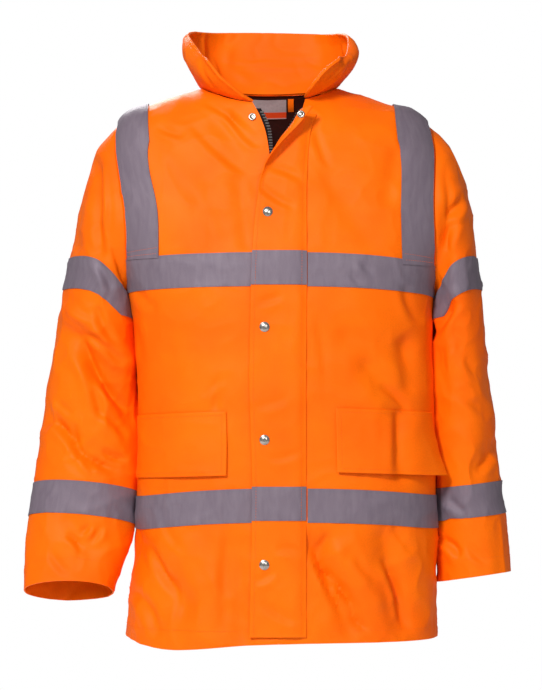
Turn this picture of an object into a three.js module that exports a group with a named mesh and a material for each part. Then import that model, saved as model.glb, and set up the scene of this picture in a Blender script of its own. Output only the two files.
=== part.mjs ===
// A hi-vis work jacket that stands hollow, as if it were worn.
// Millimetres, +Z up, the front faces -Y and the wearer's left is +X.
// The origin is the middle of the neck seam.
import * as THREE from 'three';

// Driving sizes
const WALL = 2;
const COLLAR_WALL = 5;
const FLAP_WALL = 2.4;
const SEAM = 0.3;
const TAPE_WIDTH = 50;
const TAPE_WALL = 0.8;
const TAPE_LIFT = { chest: 2.2, waist: 1.3, flap: 0.8, upperSleeve: 1.6, lowerSleeve: 1.2 };
const FLAP_LIFT = 6;
const STUD_RADIUS = 7.5;
const RING_RADIUS = 5.8;
const POCKET_WIDTH = 178;
const POCKET_HEIGHT = 95;
const POCKET_LIFT = 1.2;

// Grid steps
const BODY_ROWS = 11;
const ARMHOLE_ROWS = 11;
const SHOULDER_ROWS = 5;
const FRONT_COLUMNS = 13;
const BACK_COLUMNS = 22;
const SLEEVE_ROWS = 19;

// Places on the body, counted along its rings
const HEM = 0;
const ARMPIT = 3;
const SHOULDER = 5;
const NECK = 7;

// The rows of a table, each an object with the named columns
const table = (columns, rows) => rows.map((row) => (
  Object.fromEntries(columns.map((name, index) => [name, row[index]]))
));

// The body's rings. zSide, zFront and zBack are heights at the side and at the middle of front and back,
// centre and half place the ring across, front and back are its depths, square is its superellipse power
// and armhole is how far from the centre the armhole is cut.
const TORSO = table([
  'level', 'zSide', 'zFront', 'zBack', 'centre', 'half', 'front', 'back', 'square', 'armhole',
], [
  [0, -833, -831, -838, 20.6, 235.5, 143, 138, 2.5, 232],
  [1, -628, -626, -626, 28, 228, 141, 132, 2.5, 232],
  [2, -480, -480, -480, 27, 226, 143, 132, 2.5, 232],
  [3, -315, -315, -315, 19, 232, 142, 138, 2.6, 232],
  [4, -195, -195, -195, 16, 262, 128, 128, 2.8, 232],
  [5, -57, -120, -105, 6.5, 237.5, 114, 110, 2.5, 237.5],
  [6, -22, -75, -48, 3, 172, 104, 92, 2.3, 172],
  [7, -1, -31, -3, 0, 104, 96, 70, 2.1, 104],
]);

// The hem hangs lower over a stretch of the front
const HEM_DIP = { depth: 12, turn: -0.22, width: 0.15 };

// The edges of the two fronts, left and right as seen from the front: the zip is open above the last stud
const OPENING = table(['z', 'left', 'right'], [
  [-835, 10, 20],
  [-260, 9, 19],
  [-150, 5, 15],
  [-112, 2, 14.5],
  [-75, -4, 34],
  [-50, -13, 48],
  [-30, -24, 56],
]);

// The storm flap. seam is where it is sewn on, fold its outer edge, and curl how far it rolls over there.
const FLAP = table(['z', 'seam', 'fold', 'radius', 'curl'], [
  [-822, 56, -28, 10, 0],
  [-600, 56, -24, 10, 0],
  [-443, 56, -28, 10, 0],
  [-281, 57, -25, 10, 0],
  [-211, 57, -21, 10, 5],
  [-161, 57, -14, 10, 25],
  [-136, 58, -8, 10, 65],
  [-114, 59, 5, 10, 120],
  [-92, 61, 18, 10, 165],
  [-70, 64, 33, 10, 190],
  [-48, 72, 46, 11, 200],
]);

// The collar from the left front end, round the back, to the right one: where its middle and its rim lie
const COLLAR = table(['turn', 'bellyX', 'bellyY', 'bellyZ', 'rimX', 'rimY', 'rimZ'], [
  [0.17, 74, -116, 2, 107, -106, 33],
  [0.3, 121, -80, 27, 117, -62, 48],
  [0.5, 134, -8, 54, 118, 5, 84],
  [0.8, 88, 78, 52, 82, 84, 94],
  [1, 0, 90, 52, 0, 97, 97],
  [1.2, -84, 78, 52, -80, 84, 96],
  [1.5, -130, -8, 56, -121, 0, 86],
  [1.75, -108, -86, 20, -104, -78, 50],
  [1.93, -62, -112, -3, -93, -114, 27],
]);
const BELLY_HEIGHT = 0.55;

// The sleeves' rings below the armhole: the outer and the inner side as seen from the front, the middle's
// depth, half the depth, and how far the ring's front is tilted up, in degrees
const SLEEVE_LEFT_SEEN = table(['place', 'outerX', 'outerZ', 'innerX', 'innerZ', 'y', 'depth', 'pitch'], [
  [0.08, -262, -98, -228, -320, 2, 80, 0],
  [0.18, -281, -160, -230, -330, 6, 82, 0],
  [0.3, -298, -245, -220, -350, 14, 82, 2],
  [0.42, -316, -330, -207, -392, 20, 78, 4],
  [0.54, -330, -412, -198, -450, 22, 73, 6],
  [0.66, -346, -500, -195, -520, 18, 66, 10],
  [0.78, -358, -596, -200, -606, 6, 58, 14],
  [0.9, -367, -684, -211, -690, -12, 51, 19],
  [1, -371, -764, -238, -764, -32, 47, 24],
]);
const SLEEVE_RIGHT_SEEN = table(['place', 'outerX', 'outerZ', 'innerX', 'innerZ', 'y', 'depth', 'pitch'], [
  [0.08, 277, -92, 262, -320, 2, 82, 0],
  [0.18, 301, -150, 266, -330, 7, 86, 0],
  [0.3, 317, -240, 256, -350, 16, 92, 0],
  [0.42, 327, -330, 246, -388, 22, 92, 0],
  [0.54, 334, -415, 242, -445, 26, 90, 1],
  [0.66, 344, -505, 243, -520, 26, 84, 2],
  [0.78, 354, -600, 248, -606, 22, 76, 3],
  [0.9, 363, -672, 255, -682, 16, 66, 4],
  [1, 369, -738, 260, -754, 6, 58, 5],
]);
const SLEEVE_CLEARANCE = 8;
const SLEEVE_SEAM = 0.01;
const CLEARANCE_RUN = 45;

// The largest folds, each a soft trough along a line seen from the front: depth is negative for a ridge,
// and side is -1 for the front and 1 for the back
const BODY_FOLDS = table(['x1', 'z1', 'x2', 'z2', 'width', 'depth', 'side'], [
  [-205, -690, -125, -775, 26, 9, -1],
  [-120, -700, -95, -820, 30, -6, -1],
  [-45, -690, -38, -820, 16, 5, -1],
  [72, -690, 130, -800, 24, 8, -1],
  [165, -690, 195, -790, 26, 7, -1],
  [-70, -60, -20, -150, 20, 5, -1],
  [-170, -90, -125, -150, 24, 4, -1],
  [-150, -700, -70, -800, 30, 7, 1],
  [180, -700, 110, -790, 30, 8, 1],
  [30, -440, 20, -545, 34, 6, 1],
  [-150, -355, -60, -430, 30, 6, 1],
  [180, -355, 90, -430, 30, 6, 1],
]);
const SLEEVE_FOLDS = table(['x1', 'z1', 'x2', 'z2', 'width', 'depth', 'side'], [
  [-285, -380, -205, -500, 20, 11, -1],
  [-290, -345, -215, -415, 18, -6, -1],
  [-330, -505, -235, -575, 17, 9, -1],
  [-258, -120, -255, -250, 16, 8, -1],
  [-300, -655, -270, -700, 14, 5, -1],
  [268, -190, 262, -300, 15, 8, -1],
  [262, -330, 290, -390, 20, 8, -1],
  [312, -580, 338, -545, 16, 5, -1],
  [-330, -360, -240, -430, 22, 8, 1],
  [-340, -520, -250, -560, 20, 7, 1],
  [330, -350, 280, -430, 22, 8, 1],
  [345, -520, 280, -570, 20, 7, 1],
]);

const MATERIALS = {
  cloth: new THREE.MeshStandardMaterial({ color: '#ff7612', roughness: 0.7, metalness: 0 }),
  tape: new THREE.MeshStandardMaterial({ color: '#8b7e8d', roughness: 0.5, metalness: 0 }),
  metal: new THREE.MeshStandardMaterial({ color: '#c9c5c0', roughness: 0.3, metalness: 1 }),
  zip: new THREE.MeshStandardMaterial({ color: '#1b1717', roughness: 0.6, metalness: 0 }),
  lining: new THREE.MeshStandardMaterial({ color: '#2a0d05', roughness: 0.8, metalness: 0 }),
  label: new THREE.MeshStandardMaterial({ color: '#d9d3cf', roughness: 0.6, metalness: 0 }),
};

const jacket = new THREE.Group();
jacket.name = 'hi_vis_jacket';

function add(name, geometry, material) {
  const mesh = new THREE.Mesh(geometry, MATERIALS[material]);
  mesh.name = name;
  jacket.add(mesh);
  return mesh;
}

const clamp = (value, low, high) => Math.min(Math.max(value, low), high);
const mix = (from, to, share) => from + (to - from) * share;
const signedPower = (value, power) => Math.sign(value) * Math.abs(value) ** power;

// The smooth value of one column of a table, at a place along its key column
function along(rows, key, column, at) {
  const last = rows.length - 1;
  let i = 0;
  while (i < last - 1 && at > rows[i + 1][key]) i += 1;
  const [before, from] = [rows[Math.max(i - 1, 0)], rows[i]];
  const [to, after] = [rows[i + 1], rows[Math.min(i + 2, last)]];
  const span = to[key] - from[key];
  const t = clamp((at - from[key]) / span, 0, 1);
  const rise = to[column] - from[column];
  const slopeIn = i > 0 ? ((to[column] - before[column]) / (to[key] - before[key])) * span : rise;
  const slopeOut = i + 2 <= last ? ((after[column] - from[column]) / (after[key] - from[key])) * span : rise;
  const [t2, t3] = [t * t, t * t * t];
  return from[column] * (2 * t3 - 3 * t2 + 1) + slopeIn * (t3 - 2 * t2 + t)
    + to[column] * (3 * t2 - 2 * t3) + slopeOut * (t3 - t2);
}

// The number between low and high where a rising function reaches its goal
function solve(rising, goal, low, high) {
  let [a, b] = [low, high];
  for (let step = 0; step < 34; step += 1) {
    const middle = (a + b) / 2;
    if (rising(middle) < goal) a = middle;
    else b = middle;
  }
  return (a + b) / 2;
}

// How far the folds push a point in: each is a trough along a line, fading to its ends
function foldDepth(folds, point, middleY) {
  const facing = clamp((point.y - middleY) / 30, -1, 1);
  let depth = 0;
  for (const fold of folds) {
    const [dx, dz] = [fold.x2 - fold.x1, fold.z2 - fold.z1];
    const share = clamp(((point.x - fold.x1) * dx + (point.z - fold.z1) * dz) / (dx * dx + dz * dz), 0, 1);
    const away = Math.hypot(point.x - fold.x1 - share * dx, point.z - fold.z1 - share * dz);
    depth += fold.depth * Math.exp(-((away / fold.width) ** 2)) * Math.max(0, facing * fold.side);
  }
  return depth;
}

// A point of the smooth body: turn 0 is the middle of the front, 0.5 the right side as seen, 1 the back
function torso(turn, level) {
  const column = (name) => along(TORSO, 'level', name, level);
  const [across, ahead] = [Math.sin(turn * Math.PI), Math.cos(turn * Math.PI)];
  const power = 2 / column('square');
  const depth = ahead > 0 ? column('front') : column('back');
  const zEnd = ahead > 0 ? column('zFront') : column('zBack');
  const dip = HEM_DIP.depth * Math.exp(-(((turn - HEM_DIP.turn) / HEM_DIP.width) ** 2));
  return new THREE.Vector3(
    column('centre') + column('half') * signedPower(across, power),
    -depth * signedPower(ahead, power),
    column('zSide') + (zEnd - column('zSide')) * ahead * ahead - dip * Math.max(1 - level, 0) ** 2,
  );
}

// The outward direction of a surface that is given by two numbers; sense is -1 where they turn the other way
function outward(surface, a, b, stepA, stepB, sense) {
  const alongA = surface(a + stepA, b).sub(surface(a - stepA, b));
  const alongB = surface(a, b + stepB).sub(surface(a, b - stepB));
  return alongA.cross(alongB).normalize().multiplyScalar(sense);
}

function torsoNormal(turn, level) {
  return outward(torso, turn, clamp(level, 0.02, NECK - 0.02), 0.01, 0.02, 1);
}

// A point on the body's cloth with its folds, moved out by a distance
function onTorso(turn, level, out) {
  const point = torso(turn, level);
  return point.addScaledVector(torsoNormal(turn, level), out - foldDepth(BODY_FOLDS, point, 0));
}

const levelAt = (turn, z) => solve((level) => torso(turn, level).z, z, HEM, NECK);
const frontTurnAt = (x, level) => solve((turn) => torso(turn, level).x, x, -0.5, 0.5);
const backTurnAt = (x, level) => solve((turn) => -torso(turn, level).x, -x, 0.5, 1.5);

// The turn and level of the front where it is seen at x and z
function frontPlace(x, z) {
  let turn = 0;
  let level = 3;
  for (let step = 0; step < 5; step += 1) {
    level = levelAt(turn, z);
    turn = frontTurnAt(x, level);
  }
  return { turn, level };
}

// A closed solid from an outer and an inner grid of points; round joins each row's end to its start
function shell(outer, inner, round = false) {
  const [rows, columns] = [outer.length, outer[0].length];
  const grids = [...outer, ...inner];
  const positions = [];
  for (const row of grids) for (const point of row) positions.push(point.x, point.y, point.z);
  const id = (side, row, column) => (side * rows + row) * columns + (column % columns);
  const faces = [];
  const quad = (a, b, c, d) => faces.push(a, b, c, a, c, d);
  const spans = round ? columns : columns - 1;
  for (let r = 0; r < rows - 1; r += 1) {
    for (let c = 0; c < spans; c += 1) {
      quad(id(0, r, c), id(0, r, c + 1), id(0, r + 1, c + 1), id(0, r + 1, c));
      quad(id(1, r, c), id(1, r + 1, c), id(1, r + 1, c + 1), id(1, r, c + 1));
    }
    if (!round) {
      quad(id(0, r, 0), id(0, r + 1, 0), id(1, r + 1, 0), id(1, r, 0));
      quad(id(0, r, spans), id(1, r, spans), id(1, r + 1, spans), id(0, r + 1, spans));
    }
  }
  for (let c = 0; c < spans; c += 1) {
    quad(id(0, 0, c), id(1, 0, c), id(1, 0, c + 1), id(0, 0, c + 1));
    quad(id(0, rows - 1, c), id(0, rows - 1, c + 1), id(1, rows - 1, c + 1), id(1, rows - 1, c));
  }
  return closedGeometry(positions, faces);
}

// Faces point out when the signed volume is positive
function closedGeometry(positions, faces) {
  const corner = (i) => new THREE.Vector3().fromArray(positions, faces[i] * 3);
  let volume = 0;
  for (let i = 0; i < faces.length; i += 3) volume += corner(i).dot(corner(i + 1).cross(corner(i + 2)));
  if (volume < 0) faces.reverse();
  const geometry = new THREE.BufferGeometry();
  geometry.setAttribute('position', new THREE.Float32BufferAttribute(positions, 3));
  geometry.setIndex(faces);
  geometry.computeVertexNormals();
  return geometry;
}

// The wall between two distances from a surface, on a grid of rows by columns
function layer(rows, columns, outerAt, innerAt, place, surface, round = false) {
  const grid = (out) => Array.from({ length: rows + 1 }, (_, r) => (
    Array.from({ length: columns + (round ? 0 : 1) }, (__, c) => {
      const [a, b] = place(c / columns, r / rows);
      return surface(a, b, out);
    })
  ));
  return shell(grid(outerAt), grid(innerAt), round);
}

// The levels of the panels' rows: even steps, but round the armhole as on a circle
function panelLevels() {
  const levels = [];
  for (let r = 0; r < BODY_ROWS; r += 1) levels.push(mix(HEM, ARMPIT, r / BODY_ROWS));
  for (let r = 0; r < ARMHOLE_ROWS; r += 1) levels.push(armholeLevel(r));
  for (let r = 0; r <= SHOULDER_ROWS; r += 1) levels.push(mix(SHOULDER, NECK, r / SHOULDER_ROWS));
  return levels;
}

function armholeLevel(row) {
  return mix(ARMPIT, SHOULDER, (1 - Math.cos((Math.PI * row) / ARMHOLE_ROWS)) / 2);
}

// The turn where a panel ends at its side: at the side seam, at the armhole, or at the shoulder seam.
// side is -1 for the left as seen and 1 for the right; facing is -1 for the front and 1 for the back.
function sideTurn(side, facing, level) {
  const seam = 0.5 * side;
  if (level <= ARMPIT || level >= SHOULDER) return seam;
  const x = along(TORSO, 'level', 'centre', level) + side * along(TORSO, 'level', 'armhole', level);
  if (facing < 0) return frontTurnAt(x, level);
  const turn = backTurnAt(x, level);
  return turn > 1 ? turn - 2 : turn;
}

const SEAM_TURN = 0.0004;

function frontEdgeTurn(side, level) {
  const z = along(TORSO, 'level', 'zFront', level);
  return frontTurnAt(along(OPENING, 'z', side < 0 ? 'left' : 'right', z), level);
}

function addFront(name, side) {
  const levels = panelLevels();
  const place = (u, v) => {
    const level = levels[Math.round(v * (levels.length - 1))];
    const end = sideTurn(side, -1, level) - side * SEAM_TURN;
    return [mix(frontEdgeTurn(side, level), end, u), level];
  };
  add(name, layer(levels.length - 1, FRONT_COLUMNS, 0, -WALL, place, onTorso), 'cloth');
}

function addBack() {
  const levels = panelLevels();
  const place = (u, v) => {
    const level = levels[Math.round(v * (levels.length - 1))];
    const right = sideTurn(1, 1, level) + SEAM_TURN;
    const left = sideTurn(-1, 1, level) + 2 - SEAM_TURN;
    return [mix(right, left, u), level];
  };
  add('back', layer(levels.length - 1, BACK_COLUMNS, 0, -WALL, place, onTorso), 'cloth');
}

// The armhole's edge: a ring from the armpit up the front to the shoulder and down the back
function armholeRing(side) {
  const ring = [];
  const count = 2 * ARMHOLE_ROWS;
  const middle = torso(0.5 * side, 4);
  for (let i = 0; i < count; i += 1) {
    const facing = i <= ARMHOLE_ROWS ? -1 : 1;
    const level = armholeLevel(facing < 0 ? i : count - i);
    const point = onTorso(sideTurn(side, facing, level), level, 0);
    middle.x = point.x;
    ring.push(point.addScaledVector(middle.clone().sub(point).normalize(), SEAM * 1.5));
  }
  return ring;
}

// A point kept clear of the body, below the armpit
function clearOfBody(point, clearance) {
  const level = solve((l) => along(TORSO, 'level', 'zSide', l), point.z, HEM, NECK);
  if (level >= ARMPIT) return point;
  const room = clearance * clamp((TORSO[ARMPIT].zSide - point.z) / CLEARANCE_RUN, 0, 1);
  const column = (name) => along(TORSO, 'level', name, level);
  const across = (point.x - column('centre')) / (column('half') + room);
  const ahead = point.y / ((point.y < 0 ? column('front') : column('back')) + room);
  const reach = Math.abs(across) ** column('square') + Math.abs(ahead) ** column('square');
  if (reach >= 1 || reach === 0) return point;
  const grow = reach ** (-1 / column('square'));
  return new THREE.Vector3(column('centre') + (point.x - column('centre')) * grow, point.y * grow, point.z);
}

// A sleeve's smooth surface, from the armhole (along 0) to the cuff (along 1)
function makeSleeve(side, sections) {
  const start = armholeRing(side);
  const count = start.length;
  const ringTables = start.map((first, i) => {
    const angle = (2 * Math.PI * i) / count;
    const rows = sections.map((row) => {
      const pitch = THREE.MathUtils.degToRad(row.pitch);
      const [middleX, middleZ] = [(row.outerX + row.innerX) / 2, (row.outerZ + row.innerZ) / 2];
      const [outX, outZ] = [row.outerX - middleX, row.outerZ - middleZ];
      const ahead = row.depth * Math.sin(angle);
      return {
        place: row.place,
        x: middleX - outX * Math.cos(angle),
        y: row.y - ahead * Math.cos(pitch),
        z: middleZ - outZ * Math.cos(angle) + ahead * Math.sin(pitch),
        middleY: row.y,
      };
    });
    return [{ place: 0, x: first.x, y: first.y, z: first.z, middleY: 0 }, ...rows];
  });
  const smooth = (ring, place) => {
    const value = (index, column) => along(ringTables[index % count], 'place', column, place);
    const index = ((Math.floor(ring) % count) + count) % count;
    const share = ring - Math.floor(ring);
    const axis = (column) => mix(value(index, column), value(index + 1, column), share);
    const clearance = SLEEVE_CLEARANCE * clamp(place * 12, 0, 1);
    return clearOfBody(new THREE.Vector3(axis('x'), axis('y'), axis('z')), clearance);
  };
  const surface = (ring, place, out) => {
    const at = clamp(place, 0.012, 0.988);
    const point = smooth(ring, place);
    const normal = outward(smooth, ring, at, 1, 0.012, -side);
    const fold = foldDepth(SLEEVE_FOLDS, point, along(ringTables[0], 'place', 'middleY', place));
    return point.addScaledVector(normal, out - fold * clamp(place * 10, 0, 1));
  };
  return { surface, count };
}

// A sleeve is sewn from a front and a back piece; share is 0 for the front and 1 for the back
function addSleevePiece(name, sleeve, share) {
  const half = sleeve.count / 2;
  const first = share * half;
  const place = (u, v) => [mix(first + SLEEVE_SEAM, first + half - SLEEVE_SEAM, u), v ** 1.15];
  add(name, layer(SLEEVE_ROWS, half, 0, -WALL, place, sleeve.surface), 'cloth');
}

// A tape round the sleeve, below a line that is given at its outer and inner side
function addSleeveTape(name, sleeve, lift, outerTop, innerTop, rows) {
  const { count, surface } = sleeve;
  const tops = [];
  const bottoms = [];
  for (let i = 0; i < count; i += 1) {
    const top = mix(innerTop, outerTop, (1 - Math.cos((2 * Math.PI * i) / count)) / 2);
    let [bottom, length] = [top, 0];
    let last = surface(i, top, 0);
    while (length < TAPE_WIDTH && bottom < 0.99) {
      bottom += 0.002;
      const next = surface(i, bottom, 0);
      length += next.distanceTo(last);
      last = next;
    }
    tops.push(top);
    bottoms.push(bottom);
  }
  const place = (u, v) => {
    const i = Math.round(u * count) % count;
    return [i, mix(tops[i], bottoms[i], v)];
  };
  add(name, layer(rows, count, lift + TAPE_WALL, lift, place, surface, true), 'tape');
}

// A tape round the body between two turns; it hangs lower by sag at the sides
function addBodyTape(name, lift, topZ, sag, from, to, columns) {
  const place = (u, v) => {
    const guess = mix(from(topZ), to(topZ), u);
    const z = topZ - sag * Math.sin(guess * Math.PI) ** 2 - TAPE_WIDTH * v;
    const turn = mix(from(z), to(z), u);
    return [turn, levelAt(turn, z)];
  };
  add(name, layer(3, columns, lift + TAPE_WALL, lift, place, onTorso), 'tape');
}

const TAPE_END = 0.006;
const UNDER_FLAP = -4;
const FLAP_SEAM = 57;

function addTapeRing(name, lift, topZ, sag) {
  const sideAt = (side, facing) => (z) => {
    const level = levelAt(0.5, z);
    const turn = sideTurn(side, facing, level) + side * facing * TAPE_END;
    return side < 0 && facing > 0 ? turn + 2 : turn;
  };
  const frontAt = (x) => (z) => frontTurnAt(x, levelAt(0, z));
  addBodyTape(`${name}_front_right`, lift, topZ, sag, frontAt(UNDER_FLAP), sideAt(-1, -1), 10);
  addBodyTape(`${name}_front_left`, lift, topZ, sag, frontAt(FLAP_SEAM + 2), sideAt(1, -1), 10);
  addBodyTape(`${name}_back`, lift, topZ, sag, sideAt(1, 1), sideAt(-1, 1), 20);
}

// A tape over the shoulder, from the chest tape's top edge to the shoulder seam
const BRACE_STEP = 24;
const BRACE_INSET = 4;
const BRACE_BOTTOM = -257;
const BRACE_LIFT = 3.4;

function addBraceTape(name, side, facing) {
  const turnAt = facing < 0 ? frontTurnAt : backTurnAt;
  const away = (u, level) => (
    along(TORSO, 'level', 'armhole', Math.min(level, SHOULDER)) - BRACE_INSET - BRACE_STEP * 2 * u
  );
  const place = (u, v) => {
    const seam = solve((l) => -along(TORSO, 'level', 'half', l), -away(u, SHOULDER), SHOULDER, NECK);
    const level = mix(levelAt(0.4, BRACE_BOTTOM), seam - 0.03, v);
    const x = along(TORSO, 'level', 'centre', level) + side * away(u, level);
    return [turnAt(x, level), level];
  };
  add(name, layer(12, 2, BRACE_LIFT + TAPE_WALL, BRACE_LIFT, place, onTorso), 'tape');
}

// A point of the storm flap: u runs from its seam to its free edge, and it rolls over near the neck
function onFlap(u, z, out) {
  const column = (name) => along(FLAP, 'z', name, z);
  const curl = THREE.MathUtils.degToRad(Math.max(column('curl'), 0));
  const radius = column('radius');
  const arcX = column('fold') + radius * Math.sin(Math.min(curl, Math.PI / 2));
  const straight = Math.max(column('seam') - arcX, 0);
  const way = u * (straight + radius * curl);
  const angle = Math.max(way - straight, 0) / radius;
  const startX = arcX + straight;
  const x = startX - Math.min(way, straight) - radius * Math.sin(angle);
  const rise = radius * (1 - Math.cos(angle));
  const { turn, level } = frontPlace(x, z);
  const normal = torsoNormal(turn, level);
  const side = new THREE.Vector3(1, 0, 0).addScaledVector(normal, -normal.x).normalize();
  const point = torso(turn, level).addScaledVector(normal, FLAP_LIFT + rise + out * Math.cos(angle));
  return point.addScaledVector(side, out * Math.sin(angle));
}

function addStormFlap() {
  const [bottom, top] = [FLAP[0].z, FLAP[FLAP.length - 1].z];
  const place = (u, v) => [u, mix(bottom, top, 1 - (1 - v) ** 1.5)];
  add('storm_flap', layer(24, 9, 0, -FLAP_WALL, place, onFlap), 'cloth');
}

function addFlapTape(name, topZ) {
  const place = (u, v) => [mix(0.01, 0.99, u), topZ - TAPE_WIDTH * v];
  add(name, layer(2, 5, TAPE_LIFT.flap + TAPE_WALL, TAPE_LIFT.flap, place, onFlap), 'tape');
}

// The collar stands on the neck ring, swells at its belly and turns out at its two front ends
function collarSmooth(turn, height) {
  const base = torso(turn, NECK);
  base.z += SEAM * 2;
  const [b, r] = ['belly', 'rim'].map((line) => (
    new THREE.Vector3(...['X', 'Y', 'Z'].map((axis) => along(COLLAR, 'turn', line + axis, turn)))
  ));
  const m = BELLY_HEIGHT;
  const shareBase = ((height - m) * (height - 1)) / m;
  const shareBelly = (height * (height - 1)) / (m * (m - 1));
  const shareRim = (height * (height - m)) / (1 - m);
  return base.multiplyScalar(shareBase).addScaledVector(b, shareBelly).addScaledVector(r, shareRim);
}

function onCollar(turn, height, out) {
  const point = collarSmooth(turn, height);
  const at = clamp(height, 0.03, 0.97);
  const around = clamp(turn, COLLAR[0].turn + 0.01, COLLAR[COLLAR.length - 1].turn - 0.01);
  return point.addScaledVector(outward(collarSmooth, around, at, 0.01, 0.03, 1), out);
}

function addCollar() {
  const [first, last] = [COLLAR[0].turn, COLLAR[COLLAR.length - 1].turn];
  const place = (u, v) => [mix(first, last, u), v];
  add('collar', layer(6, 34, 0, -COLLAR_WALL, place, onCollar), 'cloth');
}

// A pocket flap hangs from its top edge and stands off the front towards its lower edge
function addPocketFlap(name, side, innerX, topZ, slope, kick) {
  const start = frontPlace(innerX, topZ);
  let [end, length] = [start.turn, 0];
  let last = torso(end, start.level);
  while (length < POCKET_WIDTH && Math.abs(end) < 0.49) {
    end += side * 0.002;
    const next = torso(end, start.level);
    length += next.distanceTo(last);
    last = next;
  }
  const surface = (u, v, out) => {
    const turn = mix(start.turn, end, u);
    const level = levelAt(turn, topZ - slope * u - POCKET_HEIGHT * v);
    return onTorso(turn, level, POCKET_LIFT + 4 * v + kick * u * u * v * v + out);
  };
  add(name, layer(4, 8, 1.6, 0, (u, v) => [u, v], surface), 'cloth');
}

// The teeth and tape of one half of the zip, along the front's edge and showing past it
function addZip(name, side) {
  const showing = (z) => 4.4 + 3.5 * clamp((z + 100) / 30, 0, 1);
  const surface = (u, v, out) => {
    const z = mix(-822, -38, v);
    const edge = along(OPENING, 'z', side < 0 ? 'left' : 'right', z);
    const x = edge + side * mix(12, -showing(z), u);
    const { turn, level } = frontPlace(x, z);
    return onTorso(turn, level, out - WALL - 3);
  };
  add(name, layer(20, 2, 1.2, 0, (u, v) => [u, v], surface), 'zip');
}

// A domed press stud cap on the flap, or a ring snap
function addStud(name, centre, normal, profile) {
  const points = profile.map(([radius, height]) => new THREE.Vector2(radius, height));
  const stud = add(name, new THREE.LatheGeometry(points, 14), 'metal');
  stud.position.copy(centre);
  stud.quaternion.setFromUnitVectors(new THREE.Vector3(0, 1, 0), normal);
}

const CAP_PROFILE = [
  [0, 0], [STUD_RADIUS, 0], [STUD_RADIUS, 1.2],
  [STUD_RADIUS * 0.8, 2.5], [STUD_RADIUS * 0.4, 3.2], [0, 3.4],
];
const RING_PROFILE = [
  [2.4, 0], [RING_RADIUS, 0], [RING_RADIUS, 1.4], [4.4, 2.4], [2.4, 2.0], [2.4, 0],
];

const RING_SNAP = { share: 0.86, z: -58 };

function flapPlaceAtX(x, z) {
  return solve((u) => -onFlap(u, z, 0).x, -x, 0, 1);
}

function addStuds() {
  const caps = [{ x: -1, z: -195.5 }, { x: -5.7, z: -365 }, { x: -5.7, z: -531 }, { x: -6, z: -715 }];
  caps.forEach(({ x, z }, index) => {
    const u = flapPlaceAtX(x, z);
    const base = onFlap(u, z, SEAM);
    const normal = onFlap(u, z, 1).sub(base).normalize();
    addStud(`stud_cap_${index + 1}`, base, normal, CAP_PROFILE);
  });
  const { turn, level } = frontPlace(-24, -52);
  addStud('ring_snap_right', onTorso(turn, level, SEAM * 2), torsoNormal(turn, level), RING_PROFILE);
  const rolled = onFlap(RING_SNAP.share, RING_SNAP.z, -FLAP_WALL - SEAM * 3);
  const above = onFlap(RING_SNAP.share, RING_SNAP.z, -FLAP_WALL - SEAM * 3 - 1);
  addStud('ring_snap_left', rolled, above.sub(rolled).normalize(), RING_PROFILE);
}

// What shows through the open neck: dark lining, a blank label and a hanging loop
const LINING_IN = WALL + 2;

function addNeckPieces() {
  const yoke = (u, v) => [mix(0.69, 1.31, u), mix(3.4, 6.95, v)];
  add('back_lining', layer(9, 14, -LINING_IN, -LINING_IN - 1, yoke, onTorso), 'lining');
  const inside = (u, v, out) => {
    const level = solve((l) => torso(1, l).z, v, SHOULDER, NECK);
    return onTorso(backTurnAt(u, level), level, out);
  };
  const patch = (left, right, bottom, top) => (u, v) => [mix(left, right, u), mix(bottom, top, v)];
  const labelIn = LINING_IN + 1.6;
  add('neck_label', layer(3, 4, -labelIn, -labelIn - 0.8, patch(-26, 28, -36, -8), inside), 'label');
  add('hanging_loop', layer(3, 2, -labelIn, -labelIn - 1.2, patch(31, 40, -26, -7), inside), 'cloth');
}

addFront('front_right', -1);
addFront('front_left', 1);
addBack();
const sleeves = { right: makeSleeve(-1, SLEEVE_LEFT_SEEN), left: makeSleeve(1, SLEEVE_RIGHT_SEEN) };
addSleevePiece('sleeve_right_front', sleeves.right, 0);
addSleevePiece('sleeve_right_back', sleeves.right, 1);
addSleevePiece('sleeve_left_front', sleeves.left, 0);
addSleevePiece('sleeve_left_back', sleeves.left, 1);
addCollar();
addStormFlap();
addPocketFlap('pocket_flap_right', -1, -62, -489, 9, 4);
addPocketFlap('pocket_flap_left', 1, 99, -484, 9, 16);
addTapeRing('chest_tape', TAPE_LIFT.chest, -255, 9);
addTapeRing('waist_tape', TAPE_LIFT.waist, -600, 15);
addFlapTape('chest_tape_flap', -253);
addFlapTape('waist_tape_flap', -600);
addBraceTape('brace_tape_front_right', -1, -1);
addBraceTape('brace_tape_front_left', 1, -1);
addBraceTape('brace_tape_back_right', -1, 1);
addBraceTape('brace_tape_back_left', 1, 1);
addSleeveTape('sleeve_tape_upper_right', sleeves.right, TAPE_LIFT.upperSleeve, 0.322, 0.16, 4);
addSleeveTape('sleeve_tape_lower_right', sleeves.right, TAPE_LIFT.lowerSleeve, 0.778, 0.782, 2);
addSleeveTape('sleeve_tape_upper_left', sleeves.left, TAPE_LIFT.upperSleeve, 0.322, 0.16, 4);
addSleeveTape('sleeve_tape_lower_left', sleeves.left, TAPE_LIFT.lowerSleeve, 0.78, 0.79, 2);
addZip('zip_right', -1);
addZip('zip_left', 1);
addStuds();
addNeckPieces();

export default jacket;
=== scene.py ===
# %% [markdown]
# A hi-vis work jacket, filled out as if worn. The imported model gives its pieces at their real size.
# Here each piece of cloth is made again as a thin shell with creases, seams and stitches, and each
# finish is a material made from nodes. The way is the same for all: a formula gives the smooth form,
# short tables lay the folds on it, and loops turn the two into meshes.

import math

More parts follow.
